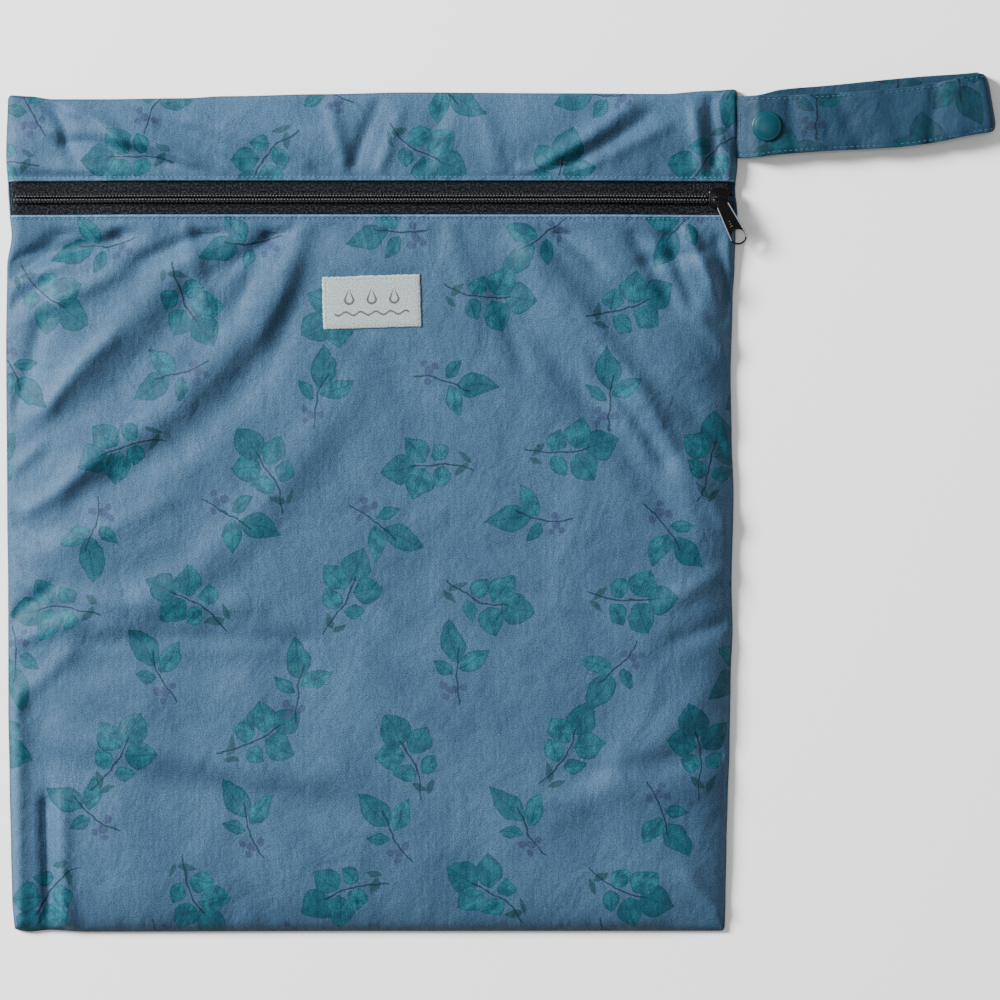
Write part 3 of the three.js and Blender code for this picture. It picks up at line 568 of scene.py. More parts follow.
def newMaterial(name):
    material = bpy.data.materials.new(name)
    material.use_nodes = True
    tree = material.node_tree
    tree.nodes.clear()
    shader = tree.nodes.new("ShaderNodeBsdfPrincipled")
    output = tree.nodes.new("ShaderNodeOutputMaterial")
    tree.links.new(shader.outputs[0], output.inputs["Surface"])
    return material, tree, shader


# One leaf of the print, pointed at both ends: a mask, and a mask of its midrib and rim.
leafShape, given, result = newGroup(
    "leafShape",
    [("Vector", "NodeSocketVector"), ("Centre", "NodeSocketVector"), ("Angle", "NodeSocketFloat"),
     ("Length", "NodeSocketFloat"), ("Width", "NodeSocketFloat")],
    [("Mask", "NodeSocketFloat"), ("Vein", "NodeSocketFloat")])
t = leafShape
turned = addNode(t, "ShaderNodeVectorRotate", {
    "Vector": vectorCalc(t, "SUBTRACT", given["Vector"], given["Centre"]), "Center": (0, 0, 0),
    "Angle": calc(t, "MULTIPLY", given["Angle"], -1.0)}, rotation_type="Z_AXIS").outputs[0]
split = addNode(t, "ShaderNodeSeparateXYZ", {"Vector": turned}).outputs
along = calc(t, "DIVIDE", split["X"], calc(t, "MULTIPLY", given["Length"], 0.5))
along = calc(t, "MAXIMUM", calc(t, "MINIMUM", along, 1.0), -1.0)
belly = calc(t, "SUBTRACT", 1.0, calc(t, "MULTIPLY", along, along))
belly = calc(t, "MULTIPLY", belly, calc(t, "SUBTRACT", 1.0, calc(t, "MULTIPLY", along, 0.3)))
edge = calc(t, "MULTIPLY", belly, calc(t, "MULTIPLY", given["Width"], 0.5))
aside = calc(t, "ABSOLUTE", split["Y"])
mask = smoothMask(t, calc(t, "SUBTRACT", edge, aside), 0.0, 0.45)
t.links.new(mask, result["Mask"])
rim = calc(t, "MULTIPLY", smoothMask(t, calc(t, "SUBTRACT", edge, aside), 1.15, 0.35), 0.8)
midrib = calc(t, "MULTIPLY", smoothMask(t, aside, 0.42, 0.1), 0.8)
t.links.new(calc(t, "MULTIPLY", mask, calc(t, "MAXIMUM", midrib, rim)), result["Vein"])

# A tossed layout: each cell of a staggered grid gets its own place and turn.
tossedCells, given, result = newGroup(
    "tossedCells",
    [("Vector", "NodeSocketVector"), ("Size", "NodeSocketFloat"), ("Shift", "NodeSocketVector"),
     ("Jitter", "NodeSocketFloat")],
    [("Local", "NodeSocketVector"), ("Chance", "NodeSocketFloat"), ("Tone", "NodeSocketFloat")])
t = tossedCells
cellSize = addNode(t, "ShaderNodeCombineXYZ", {0: given["Size"], 1: given["Size"], 2: 1.0}).outputs[0]
scaled = vectorCalc(t, "DIVIDE", vectorCalc(t, "ADD", given["Vector"], given["Shift"]), cellSize)
split = addNode(t, "ShaderNodeSeparateXYZ", {"Vector": scaled}).outputs
rowIndex = calc(t, "FLOOR", split["Y"])
stagger = calc(t, "MULTIPLY", calc(t, "MODULO", calc(t, "ADD", rowIndex, 200.0), 2.0), 0.5)
placeX = calc(t, "ADD", split["X"], stagger)
columnIndex = calc(t, "FLOOR", placeX)
cell = addNode(t, "ShaderNodeCombineXYZ", {0: columnIndex, 1: rowIndex, 2: 0.0}).outputs[0]
chance = addNode(t, "ShaderNodeTexWhiteNoise", {"Vector": vectorCalc(
    t, "ADD", cell, vectorCalc(t, "MULTIPLY", given["Shift"], (1.7, 1.3, 0.0)))},
    noise_dimensions="3D").outputs
tossed = addNode(t, "ShaderNodeSeparateXYZ", {"Vector": chance["Color"]}).outputs
localX = calc(t, "SUBTRACT", calc(t, "SUBTRACT", placeX, columnIndex), 0.5)
localY = calc(t, "SUBTRACT", calc(t, "SUBTRACT", split["Y"], rowIndex), 0.5)
local = addNode(t, "ShaderNodeCombineXYZ", {
    0: calc(t, "ADD", calc(t, "MULTIPLY", localX, given["Size"]),
            calc(t, "MULTIPLY", calc(t, "SUBTRACT", tossed["X"], 0.5), given["Jitter"])),
    1: calc(t, "ADD", calc(t, "MULTIPLY", localY, given["Size"]),
            calc(t, "MULTIPLY", calc(t, "SUBTRACT", tossed["Y"], 0.5), given["Jitter"])),
    2: 0.0}).outputs[0]
turned = addNode(t, "ShaderNodeVectorRotate", {
    "Vector": local, "Center": (0, 0, 0),
    "Angle": calc(t, "MULTIPLY", tossed["Z"], 2 * math.pi)}, rotation_type="Z_AXIS").outputs[0]
t.links.new(turned, result["Local"])
t.links.new(chance["Value"], result["Chance"])
t.links.new(tossed["Y"], result["Tone"])

# The leaf and berry print, as masks over the flat cloth in millimetres. Leaf rows hold the middle, the
# angle, the length and the width; the large sprig has round leaves in pairs.
printParts = {
    "sprigCell": 60.0, "sprigJitter": 9.0, "sprigShift": (11.0, 7.0, 0.0),
    "sprig": [
        (12.0, 0.8, 0.05, 15.0, 13.0), (4.0, 7.4, 1.1, 14.0, 11.8), (3.6, -7.0, -1.0, 13.6, 11.4),
        (-5.4, 5.6, 1.0, 10.2, 8.2), (-6.4, -5.0, -1.05, 9.6, 7.4)],
    "sepals": [(-13.6, 3.6, 0.75, 8.6, 3.6), (-15.6, -1.6, -0.7, 8.0, 3.0)],
    "stemFrom": -20.0, "stemTo": 8.0, "stemBend": 0.013,
    "berryCell": 60.0, "berryJitter": 9.0, "berryShift": (25.0, 37.0, 0.0),
    "berryLeaves": [
        (9.6, 2.6, 0.3, 19.0, 10.6), (2.6, -6.8, -0.9, 15.4, 8.2), (-2.0, 6.0, 1.1, 10.8, 5.8)],
    "berryStemFrom": -17.0, "berryStemTo": 8.0, "berryStemBend": -0.01,
    "berries": [(-10.8, 0.8, 2.1), (-9.2, 4.0, 1.8), (-9.6, -3.2, 1.8), (-13.8, 2.8, 1.6)],
    "wobble": 6.0,
}
leafPrint, given, result = newGroup(
    "leafPrint", [("Vector", "NodeSocketVector")],
    [("Leaf", "NodeSocketFloat"), ("Vein", "NodeSocketFloat"), ("Sepal", "NodeSocketFloat"),
     ("Berry", "NodeSocketFloat"), ("Tone", "NodeSocketFloat")])
t = leafPrint
wobble = addNode(t, "ShaderNodeTexNoise", {"Vector": given["Vector"], "Scale": 0.075, "Detail": 3.5})
wavy = vectorCalc(t, "ADD", given["Vector"], vectorCalc(
    t, "SCALE", vectorCalc(t, "SUBTRACT", wobble.outputs["Color"], (0.5, 0.5, 0.5)),
    scale=printParts["wobble"]))
sprigs, clusters = (
    placeGroup(t, tossedCells, {"Vector": wavy, "Size": printParts[kind + "Cell"],
                                "Shift": printParts[kind + "Shift"], "Jitter": printParts[kind + "Jitter"]})
    for kind in ("sprig", "berry"))


def leavesOf(rows, local):
    # The leaves' joint mask and midribs, and a tone that steps from one leaf to the next.
    mask, vein, tone = 0.0, 0.0, 0.0
    for index, (x, y, angle, length, width) in enumerate(rows):
        leaf = placeGroup(t, leafShape, {"Vector": local, "Centre": (x, y, 0.0), "Angle": angle,
                                         "Length": length, "Width": width})
        mask = calc(t, "MAXIMUM", leaf["Mask"], mask)
        vein = calc(t, "MAXIMUM", leaf["Vein"], vein)
        tone = calc(t, "MAXIMUM", calc(t, "MULTIPLY", leaf["Mask"], ((index * 3) % 5 + 1) / 5), tone)
    return mask, vein, tone


sprigMask, sprigVein, sprigTone = leavesOf(printParts["sprig"], sprigs["Local"])
smallMask, smallVein, smallTone = leavesOf(printParts["berryLeaves"], clusters["Local"])
sepalMask = leavesOf(printParts["sepals"], sprigs["Local"])[0]


def bentStem(local, start, end, bend):
    split = addNode(t, "ShaderNodeSeparateXYZ", {"Vector": local}).outputs
    away = calc(t, "ABSOLUTE", calc(t, "SUBTRACT", split["Y"], calc(
        t, "MULTIPLY", calc(t, "MULTIPLY", split["X"], split["X"]), bend)))
    between = calc(t, "MULTIPLY", smoothMask(t, split["X"], start, start + 1.0),
                   smoothMask(t, split["X"], end, end - 1.5))
    return calc(t, "MULTIPLY", smoothMask(t, away, 0.5, 0.16), between)


sprigStem = bentStem(sprigs["Local"], *(printParts[key] for key in ("stemFrom", "stemTo", "stemBend")))
berryStem = bentStem(clusters["Local"], *(printParts[key] for key in (
    "berryStemFrom", "berryStemTo", "berryStemBend")))
stemMask = calc(t, "MAXIMUM", sprigStem, berryStem)
berryMask = 0.0
for x, y, radius in printParts["berries"]:
    away = addNode(t, "ShaderNodeVectorMath", {0: clusters["Local"], 1: (x, y, 0.0)}, operation="DISTANCE")
    berry = smoothMask(t, away.outputs["Value"], radius, radius - 0.4)
    berryMask = calc(t, "MAXIMUM", berry, berryMask)
t.links.new(calc(t, "MAXIMUM", sprigMask, smallMask), result["Leaf"])
t.links.new(calc(t, "MAXIMUM", stemMask, calc(t, "MULTIPLY", calc(
    t, "MAXIMUM", sprigVein, smallVein), 0.5)), result["Vein"])
t.links.new(sepalMask, result["Sepal"])
t.links.new(berryMask, result["Berry"])
t.links.new(calc(t, "MAXIMUM", sprigTone, smallTone), result["Tone"])

# The knit of the coated cloth: fine upright wales, as a height.
knitGrain, given, result = newGroup(
    "knitGrain", [("Vector", "NodeSocketVector"), ("Wale", "NodeSocketFloat")],
    [("Height", "NodeSocketFloat"), ("Speckle", "NodeSocketFloat")])
t = knitGrain
split = addNode(t, "ShaderNodeSeparateXYZ", {"Vector": given["Vector"]}).outputs
turns = calc(t, "DIVIDE", 2 * math.pi, given["Wale"])
wale = calc(t, "SINE", calc(t, "MULTIPLY", split["X"], turns))
course = calc(t, "SINE", calc(t, "ADD", calc(t, "MULTIPLY", split["Y"], calc(t, "MULTIPLY", turns, 1.13)),
                              calc(t, "MULTIPLY", split["X"], calc(t, "MULTIPLY", turns, 0.5))))
loops = calc(t, "MULTIPLY", wale, course)
streak = noise(t, vectorCalc(t, "MULTIPLY", given["Vector"], (1.0, 0.2, 1.0)), 0.8, 2.0, 0.6)
glints = noise(t, given["Vector"], 0.5, 1.0, 0.6)
height = calc(t, "ADD", calc(t, "MULTIPLY", loops, 0.4), calc(t, "ADD", streak, glints))
t.links.new(height, result["Height"])
shade = calc(t, "ADD", calc(t, "MULTIPLY", loops, 0.14), calc(
    t, "ADD", calc(t, "MULTIPLY", streak, 0.25), calc(t, "MULTIPLY", glints, 0.75)))
t.links.new(shade, result["Speckle"])

cloth = {
    "ground": linear(50, 77, 100), "groundDeep": linear(43, 69, 92),
    "leaf": linear(14, 55, 70), "leafLight": linear(24, 82, 94),
    "vein": linear(0, 26, 38), "sepal": linear(12, 50, 54), "berry": linear(38, 46, 76),
    "paintedHemLight": linear(84, 122, 150),
    "roughness": 0.62, "specular": 0.16, "wale": 0.85, "stripe": 2.7,
    "speckleLow": 0.3, "speckleHigh": 1.8, "hemShine": 0.5, "hemShineWidth": (1.0, 0.5),
    "stripeDepth": 0.045, "stripeFade": 22.0, "patchSize": 34.0, "washSize": 5.0, "washLow": 0.25,
    "leafCover": 0.9, "sepalCover": 0.75, "berryCover": 0.7, "veinCover": 0.8, "wearSize": 3.0,
    "crumpleSize": 7.0, "broadSize": 19.0, "broadShare": 2.2, "crumpleDepth": 0.0013,
    "crumpleStrength": 0.42, "grainDepth": 0.0001, "grainStrength": 0.32,
}


def stripeOf(tree, flat):
    # Faint upright stripes that come and go, as the knit's ribs catch the light.
    split = addNode(tree, "ShaderNodeSeparateXYZ", {"Vector": flat}).outputs
    wave = calc(tree, "SINE", calc(tree, "MULTIPLY", split["X"], 2 * math.pi / cloth["stripe"]))
    drawn = vectorCalc(tree, "MULTIPLY", flat, (1.0, 0.4, 1.0))
    fade = smoothMask(tree, noise(tree, drawn, cloth["stripeFade"]), 0.35, 0.65)
    shade = calc(tree, "MULTIPLY", calc(tree, "MULTIPLY", wave, fade), cloth["stripeDepth"])
    return calc(tree, "ADD", 1.0, shade)


def flatCloth(tree):
    # The flat cloth's own coordinates, in millimetres.
    flat = addNode(tree, "ShaderNodeUVMap", uv_map="cloth").outputs[0]
    return vectorCalc(tree, "SCALE", flat, scale=1000.0)


def clothMaterial(name, shadeTint=(1, 1, 1, 1), hems=(), seams=False):
    material, tree, shader = newMaterial(name)
    flat = flatCloth(tree)
    knit = placeGroup(tree, knitGrain, {"Vector": flat, "Wale": cloth["wale"]})
    patches = smoothMask(tree, noise(tree, flat, cloth["patchSize"], 2.0), 0.3, 0.7)
    colour = mixColour(tree, patches, cloth["ground"], cloth["groundDeep"])
    shapes = placeGroup(tree, leafPrint, {"Vector": flat})
    wash = smoothMask(tree, noise(tree, flat, cloth["washSize"], 3.0, 0.6), 0.32, 0.68)
    wash = calc(tree, "MULTIPLY", wash, calc(tree, "ADD", cloth["washLow"], shapes["Tone"]))
    leafColour = mixColour(tree, wash, cloth["leaf"], cloth["leafLight"])
    inks = (("Leaf", "leafCover", leafColour), ("Sepal", "sepalCover", cloth["sepal"]),
            ("Berry", "berryCover", cloth["berry"]), ("Vein", "veinCover", cloth["vein"]))
    for shape, cover, ink in inks:
        colour = mixColour(tree, calc(tree, "MULTIPLY", shapes[shape], cloth[cover]), colour, ink)
    upright = addNode(tree, "ShaderNodeSeparateXYZ", {"Vector": flat}).outputs["Y"]
    for hem in hems:  # a painted highlight along each folded hem edge
        away = calc(tree, "ABSOLUTE", calc(tree, "SUBTRACT", upright, hem))
        paintedHemLight = calc(tree, "MULTIPLY", smoothMask(tree, away, *cloth["hemShineWidth"]), cloth["hemShine"])
        colour = mixColour(tree, paintedHemLight, colour, cloth["paintedHemLight"])
    speckle = addNode(tree, "ShaderNodeMapRange", {
        "Value": knit["Speckle"], "From Min": 0.25, "From Max": 0.75,
        "To Min": cloth["speckleLow"], "To Max": cloth["speckleHigh"]}).outputs[0]
    for shade in (speckle, stripeOf(tree, flat), shadeTint):
        colour = mixColour(tree, 1.0, colour, shade, "MULTIPLY")
    if seams:  # the painted shade in the seams is kept with the mesh
        shade = addNode(tree, "ShaderNodeAttribute", attribute_name="paintedSeamShade").outputs["Fac"]
        colour = mixColour(tree, 1.0, colour, shade, "MULTIPLY")
    tree.links.new(colour, shader.inputs["Base Color"])
    rough = addNode(tree, "ShaderNodeMapRange", {
        "Value": noise(tree, flat, cloth["wearSize"], 3.0), "From Min": 0.3, "From Max": 0.7,
        "To Min": cloth["roughness"] - 0.05, "To Max": cloth["roughness"] + 0.07}).outputs[0]
    tree.links.new(rough, shader.inputs["Roughness"])
    shader.inputs["Specular IOR Level"].default_value = cloth["specular"]
    drawn = vectorCalc(tree, "MULTIPLY", flat, (1.0, 0.8, 1.0))
    crease = noise(tree, drawn, cloth["crumpleSize"], 4.0, 0.6, 0.4)
    drawn = vectorCalc(tree, "MULTIPLY", flat, (1.0, 0.75, 1.0))
    broad = noise(tree, drawn, cloth["broadSize"], 3.0, 0.5, 0.8)
    crumple = calc(tree, "ADD", crease, calc(tree, "MULTIPLY", broad, cloth["broadShare"]))
    soft = addNode(tree, "ShaderNodeBump", {
        "Height": crumple, "Strength": cloth["crumpleStrength"], "Distance": cloth["crumpleDepth"]})
    grain = addNode(tree, "ShaderNodeBump", {
        "Height": knit["Height"], "Strength": cloth["grainStrength"], "Distance": cloth["grainDepth"],
        "Normal": soft.outputs[0]})
    tree.links.new(grain.outputs[0], shader.inputs["Normal"])
    return material


def threadMaterial(name, colour):
    material, tree, shader = newMaterial(name)
    place = addNode(tree, "ShaderNodeTexCoord").outputs["Object"]
    twist = noise(tree, vectorCalc(tree, "SCALE", place, scale=1000.0), 0.35, 2.0)
    shade = mixColour(tree, twist, tuple(c * 0.7 for c in colour[:3]) + (1,), colour)
    tree.links.new(shade, shader.inputs["Base Color"])
    shader.inputs["Roughness"].default_value = 0.6
    bump = addNode(tree, "ShaderNodeBump", {"Height": twist, "Strength": 0.4, "Distance": 0.0001})
    tree.links.new(bump.outputs[0], shader.inputs["Normal"])
    return material


tape = {
    "twill": 0.9, "rib": 1.6, "yarn": 0.5, "fleck": 0.8, "roughness": 0.85, "specular": 0.1,
    "dark": linear(0, 1, 2), "light": linear(40, 43, 49), "depth": 0.00025,
}


def tapeMaterial():
    material, tree, shader = newMaterial("tapeWeave")
    flat = flatCloth(tree)
    split = addNode(tree, "ShaderNodeSeparateXYZ", {"Vector": flat}).outputs
    slant = calc(tree, "MULTIPLY", calc(tree, "PINGPONG", split["Y"], tape["rib"]), 1.2)
    twill = calc(tree, "SINE", calc(tree, "MULTIPLY", calc(tree, "ADD", split["X"], slant),
                                    2 * math.pi / tape["twill"]))
    yarn = noise(tree, vectorCalc(tree, "MULTIPLY", flat, (1.0, 2.0, 1.0)), tape["yarn"], 2.0)
    weave = calc(tree, "ADD", calc(tree, "MULTIPLY", twill, 0.3), yarn)
    # Light specks in the tape's colour are painted glints on its yarns.
    glint = smoothMask(tree, noise(tree, flat, tape["fleck"], 2.0, 0.75), 0.44, 0.66)
    colour = mixColour(tree, glint, tape["dark"], tape["light"])
    shader.inputs["Specular IOR Level"].default_value = tape["specular"]
    tree.links.new(colour, shader.inputs["Base Color"])
    rough = calc(tree, "SUBTRACT", tape["roughness"], calc(tree, "MULTIPLY", glint, 0.25))
    tree.links.new(rough, shader.inputs["Roughness"])
    bump = addNode(tree, "ShaderNodeBump", {"Height": weave, "Strength": 0.8, "Distance": tape["depth"]})
    tree.links.new(bump.outputs[0], shader.inputs["Normal"])
    return material


def plainMaterial(name, colour, roughness, metallic=0.0, coat=0.0, specular=0.5):
    material, tree, shader = newMaterial(name)
    place = addNode(tree, "ShaderNodeTexCoord").outputs["Object"]
    place = vectorCalc(tree, "SCALE", place, scale=1000.0)
    cloudy = noise(tree, place, 2.5, 3.0)
    fine = noise(tree, place, 0.6, 2.0)
    shade = mixColour(tree, cloudy, tuple(c * 0.82 for c in colour[:3]) + (1,), colour)
    tree.links.new(shade, shader.inputs["Base Color"])
    rough = addNode(tree, "ShaderNodeMapRange", {
        "Value": cloudy, "From Min": 0.3, "From Max": 0.7,
        "To Min": roughness * 0.85, "To Max": roughness * 1.2}).outputs[0]
    tree.links.new(rough, shader.inputs["Roughness"])
    shader.inputs["Metallic"].default_value = metallic
    shader.inputs["Coat Weight"].default_value = coat
    shader.inputs["Coat Roughness"].default_value = 0.08
    shader.inputs["Specular IOR Level"].default_value = specular
    bump = addNode(tree, "ShaderNodeBump", {"Height": fine, "Strength": 0.25, "Distance": 0.00004})
    tree.links.new(bump.outputs[0], shader.inputs["Normal"])
    return material


mark = {
    "drops": (-9.3, 0.0, 9.3), "dropUp": 1.2, "dropRadius": 2.1, "dropTop": 4.6, "dropTaper": 0.45,
    "rim": 0.85, "rimWidth": (0.3, 0.16), "waveDown": 4.6, "waveLength": 6.2, "waveHeight": 0.7,
    "waveReach": 15.5, "waveWidth": (0.55, 0.3), "twill": 0.62, "yarn": 0.35, "fleck": 0.5,
    "dark": linear(116, 130, 132), "light": linear(170, 182, 181), "ink": linear(24, 42, 52),
    "inkCover": 0.85, "depth": 0.0002,
}


def dropRim(tree, split, x):
    # The outline of one drop: round below, drawn to a point above.
    dropX = calc(tree, "SUBTRACT", split["X"], x)
    dropY = calc(tree, "SUBTRACT", split["Y"], mark["dropUp"])
    low = calc(tree, "MAXIMUM", calc(tree, "SUBTRACT", 0.0, dropY), 0.0)
    high = calc(tree, "MAXIMUM", dropY, 0.0)
    width = calc(tree, "SUBTRACT", mark["dropRadius"], calc(tree, "MULTIPLY", high, mark["dropTaper"]))
    across = calc(tree, "DIVIDE", dropX, calc(tree, "MAXIMUM", width, 0.05))
    down = calc(tree, "DIVIDE", low, mark["dropRadius"])
    reach = calc(tree, "SQRT", calc(
        tree, "ADD", calc(tree, "POWER", across, 2.0), calc(tree, "POWER", down, 2.0)))
    fromRim = calc(tree, "ABSOLUTE", calc(tree, "SUBTRACT", reach, mark["rim"]))
    return calc(tree, "MULTIPLY", smoothMask(tree, fromRim, *mark["rimWidth"]),
                calc(tree, "LESS_THAN", dropY, mark["dropTop"]))


def patchMaterial():
    # Plain woven twill with a row of drops over a wave.
    material, tree, shader = newMaterial("patchTwill")
    flat = flatCloth(tree)
    split = addNode(tree, "ShaderNodeSeparateXYZ", {"Vector": flat}).outputs
    slant = calc(tree, "ADD", split["X"], calc(tree, "MULTIPLY", split["Y"], 0.8))
    twill = calc(tree, "SINE", calc(tree, "MULTIPLY", slant, 2 * math.pi / mark["twill"]))
    yarn = noise(tree, flat, mark["yarn"], 2.0)
    swing = calc(tree, "SINE", calc(tree, "MULTIPLY", split["X"], 2 * math.pi / mark["waveLength"]))
    wave = calc(tree, "ABSOLUTE", calc(
        tree, "SUBTRACT", calc(tree, "ADD", split["Y"], mark["waveDown"]),
        calc(tree, "MULTIPLY", swing, mark["waveHeight"])))
    inside = calc(tree, "LESS_THAN", calc(tree, "ABSOLUTE", split["X"]), mark["waveReach"])
    ink = calc(tree, "MULTIPLY", smoothMask(tree, wave, *mark["waveWidth"]), inside)
    for x in mark["drops"]:
        ink = calc(tree, "MAXIMUM", ink, dropRim(tree, split, x))
    fleck = smoothMask(tree, noise(tree, flat, mark["fleck"], 2.0, 0.7), 0.35, 0.65)
    colour = mixColour(tree, fleck, mark["dark"], mark["light"])
    colour = mixColour(tree, calc(tree, "MULTIPLY", ink, mark["inkCover"]), colour, mark["ink"])
    tree.links.new(colour, shader.inputs["Base Color"])
    shader.inputs["Roughness"].default_value = 0.8
    shader.inputs["Sheen Weight"].default_value = 0.15
    weave = calc(tree, "ADD", calc(tree, "MULTIPLY", twill, 0.5), yarn)
    bump = addNode(tree, "ShaderNodeBump", {"Height": weave, "Strength": 0.7, "Distance": mark["depth"]})
    tree.links.new(bump.outputs[0], shader.inputs["Normal"])
    return material


bagCloth = clothMaterial("printedCloth", hems=(hemLower, hemUpper), seams=True)
backCloth = clothMaterial("backCloth")
hemThread = threadMaterial("hemThread", linear(70, 104, 130))
strapThread = threadMaterial("strapThread", linear(54, 84, 106))
patchThread = threadMaterial("patchThread", linear(150, 152, 152))
zipThread = threadMaterial("zipThread", linear(44, 46, 52))
# A pale colour for the dots that are painted glints on the coil's heads.
paintedCoilGlints = threadMaterial("paintedCoilGlints", linear(150, 154, 160))
# The strap's cloth is the front's cloth darkened all over: painted shade.
shadedStrapCloth = clothMaterial("shadedStrapCloth", shadeTint=(0.3, 0.47, 0.5, 1))
tapeWeave = tapeMaterial()
coilNylon = plainMaterial("coilNylon", linear(2, 2, 3), 0.42, 0.0, 0.0, 0.3)
lacquer = plainMaterial("blackLacquer", linear(1, 1, 2), 0.25, 0.0, 0.05, 0.2)
# A light metal for the pull's rims, as a painted highlight.
paintedRimHighlight = plainMaterial("paintedRimHighlight", linear(128, 130, 136), 0.35, 0.2)
snapGloss = plainMaterial("tealPlastic", linear(6, 57, 68), 0.34, 0.0, 0.0, 0.25)
patchTwill = patchMaterial()
print("materials ready")

# Front panels. Closely spaced rows roll the cloth over the seam and the folded hem.
panel = {
    "step": 1.55, "backStep": 3.4, "cloth": 0.7, "hemRise": 1.2, "hemLow": 0.12, "hemStitchIn": 1.65,
    "hemPucker": 0.16, "puckerLength": 4.9, "puckerReach": 3.4, "grooveDepth": 0.3, "grooveWidth": 0.45,
    "rollHeight": 0.25, "rollIn": 0.7, "rollWidth": 0.5, "overSeam": 0.6, "overTape": 0.75,
    "softTop": 11.6, "topGive": 3.0, "bottomPaintedShade": 0.42, "bottomBand": 3.4, "linePaintedShade": 0.5,
    "lineBand": 0.6, "backTuck": 0.1, "backRoll": 1.6,
}
seamSpacing = [0.0, 0.12, 0.4, 0.9, 1.6, 2.6, 3.9]
hemSpacing = [0.0, 0.08, 0.3, 0.7, 1.2, 1.8, 2.6]


def roundedCorner(x, y):
    # Draws the square corners in a little.
    radius = bag["corner"]
    nearX = np.clip(1 - np.minimum(x - leftAt(y), rightAt(y) - x) / radius, 0, 1)
    nearY = np.clip(1 - np.minimum(y - bottomAt(x), topAt(x) - y) / radius, 0, 1)
    draw = nearX * nearY * radius * bag["cornerDraw"]
    return x - np.sign(x) * draw, y - np.sign(y) * draw


def seamRoll(distance):
    near = 1 - np.clip(distance / bag["seamRadius"], 0, 1)
    return np.sqrt(np.clip(1 - near * near, 0, 1))


def paintSeamShade(mesh):
    # Painted shade: a soft dark band above the bottom seam, where the cloth rolls away from the light, and
    # a fine dark line of painted shade along all the seams.
    points = np.empty(len(mesh.vertices) * 3, np.float32)
    mesh.vertices.foreach_get("co", points)
    x, y = points.reshape(-1, 3)[:, 0] * 1000, points.reshape(-1, 3)[:, 1] * 1000
    down = y - bottomAt(x)
    edge = np.minimum(np.minimum(x - leftAt(y), rightAt(y) - x), np.minimum(topAt(x) - y, down))
    shade = 1 - panel["bottomPaintedShade"] * np.exp(-(np.maximum(0, down) / panel["bottomBand"]) ** 2)
    shade = shade * (1 - panel["linePaintedShade"] * np.exp(-(np.maximum(0, edge) / panel["lineBand"]) ** 2))
    kept = mesh.attributes.new("paintedSeamShade", "FLOAT", "POINT")
    kept.data.foreach_set("value", shade.astype(np.float32))


def hemLift(x, y, fromHem):
    # Beside the zip the cloth puckers, sinks along its stitches and rolls over at its folded edge.
    wave = np.sin(x * 2 * np.pi / panel["puckerLength"] + 2.2 * softNoise(x, y, 17, 8))
    pucker = panel["hemPucker"] * wave * np.exp(-(fromHem / panel["puckerReach"]) ** 2)
    groove = np.exp(-((fromHem - panel["hemStitchIn"]) / panel["grooveWidth"]) ** 2)
    roll = np.exp(-((fromHem - panel["rollIn"]) / panel["rollWidth"]) ** 2)
    return pucker - panel["grooveDepth"] * groove + panel["rollHeight"] * roll


def frontPanel(name, seamEnd, hemEnd, node):
    length = abs(hemEnd - seamEnd)
    middle = length - seamSpacing[-1] - hemSpacing[-1]
    count = round(middle / panel["step"])
    between = [seamSpacing[-1] + middle * i / count for i in range(1, count)]
    rowPlaces = np.array(seamSpacing + between + [length - near for near in reversed(hemSpacing)]) / length
    columnPlaces = stations(bag["width"], seamSpacing, panel["step"]) / bag["width"]

    def place(column, row):
        share, up = columnPlaces[column], rowPlaces[row]
        guess = leftMost + share * bag["width"]
        seamY = bottomAt(guess) if seamEnd < hemEnd else topAt(guess)
        y = mix(seamY, hemEnd, up)
        x = mix(leftAt(y), rightAt(y), share)
        inner = frontAt(x, y)
        fromSeam = np.minimum(np.minimum(x - leftAt(y), rightAt(y) - x), np.abs(y - seamY))
        fromHem = np.abs(y - hemEnd)
        outer = inner + bag["cloth"] + wrinkleAt(x, y) + hemLift(x, y, fromHem)
        tapeEdge = zipper["tapeWidth"]
        overTape = 1 - ramp(tapeEdge + 0.5, tapeEdge + 3, np.abs(y - zipY))
        lowest = mix(panel["overSeam"], zipLevel(x, y) + panel["overTape"], overTape)
        outer = np.maximum(outer, seamLevel + lowest)
        high, give = panel["softTop"], panel["topGive"]
        outer = np.where(outer > high, high + give * np.tanh((outer - high) / give), outer)
        hemNear = np.clip(fromHem / panel["hemRise"], 0, 1)
        outer = mix(inner + panel["hemLow"], outer, np.sqrt(1 - (1 - hemNear) ** 2))
        z = mix(bag["seamLine"], outer, seamRoll(fromSeam))
        return *roundedCorner(x, y), z, x, y

    mesh = clothGrid(name, len(columnPlaces) - 1, len(rowPlaces) - 1, place)
    paintSeamShade(mesh)
    if seamEnd > hemEnd:  # the upper panel's rows run the other way
        mesh.flip_normals()
    piece = finishMesh(mesh, name, "bag", "bag_cloth", bagCloth, node)
    thicken(piece, panel["cloth"])
    return piece


lowerFront = frontPanel("lowerFront", bottomMost, hemLower, "front_lower_panel")
upperFront = frontPanel("upperFront", topMost, hemUpper, "front_upper_panel")
print("front panels ready")


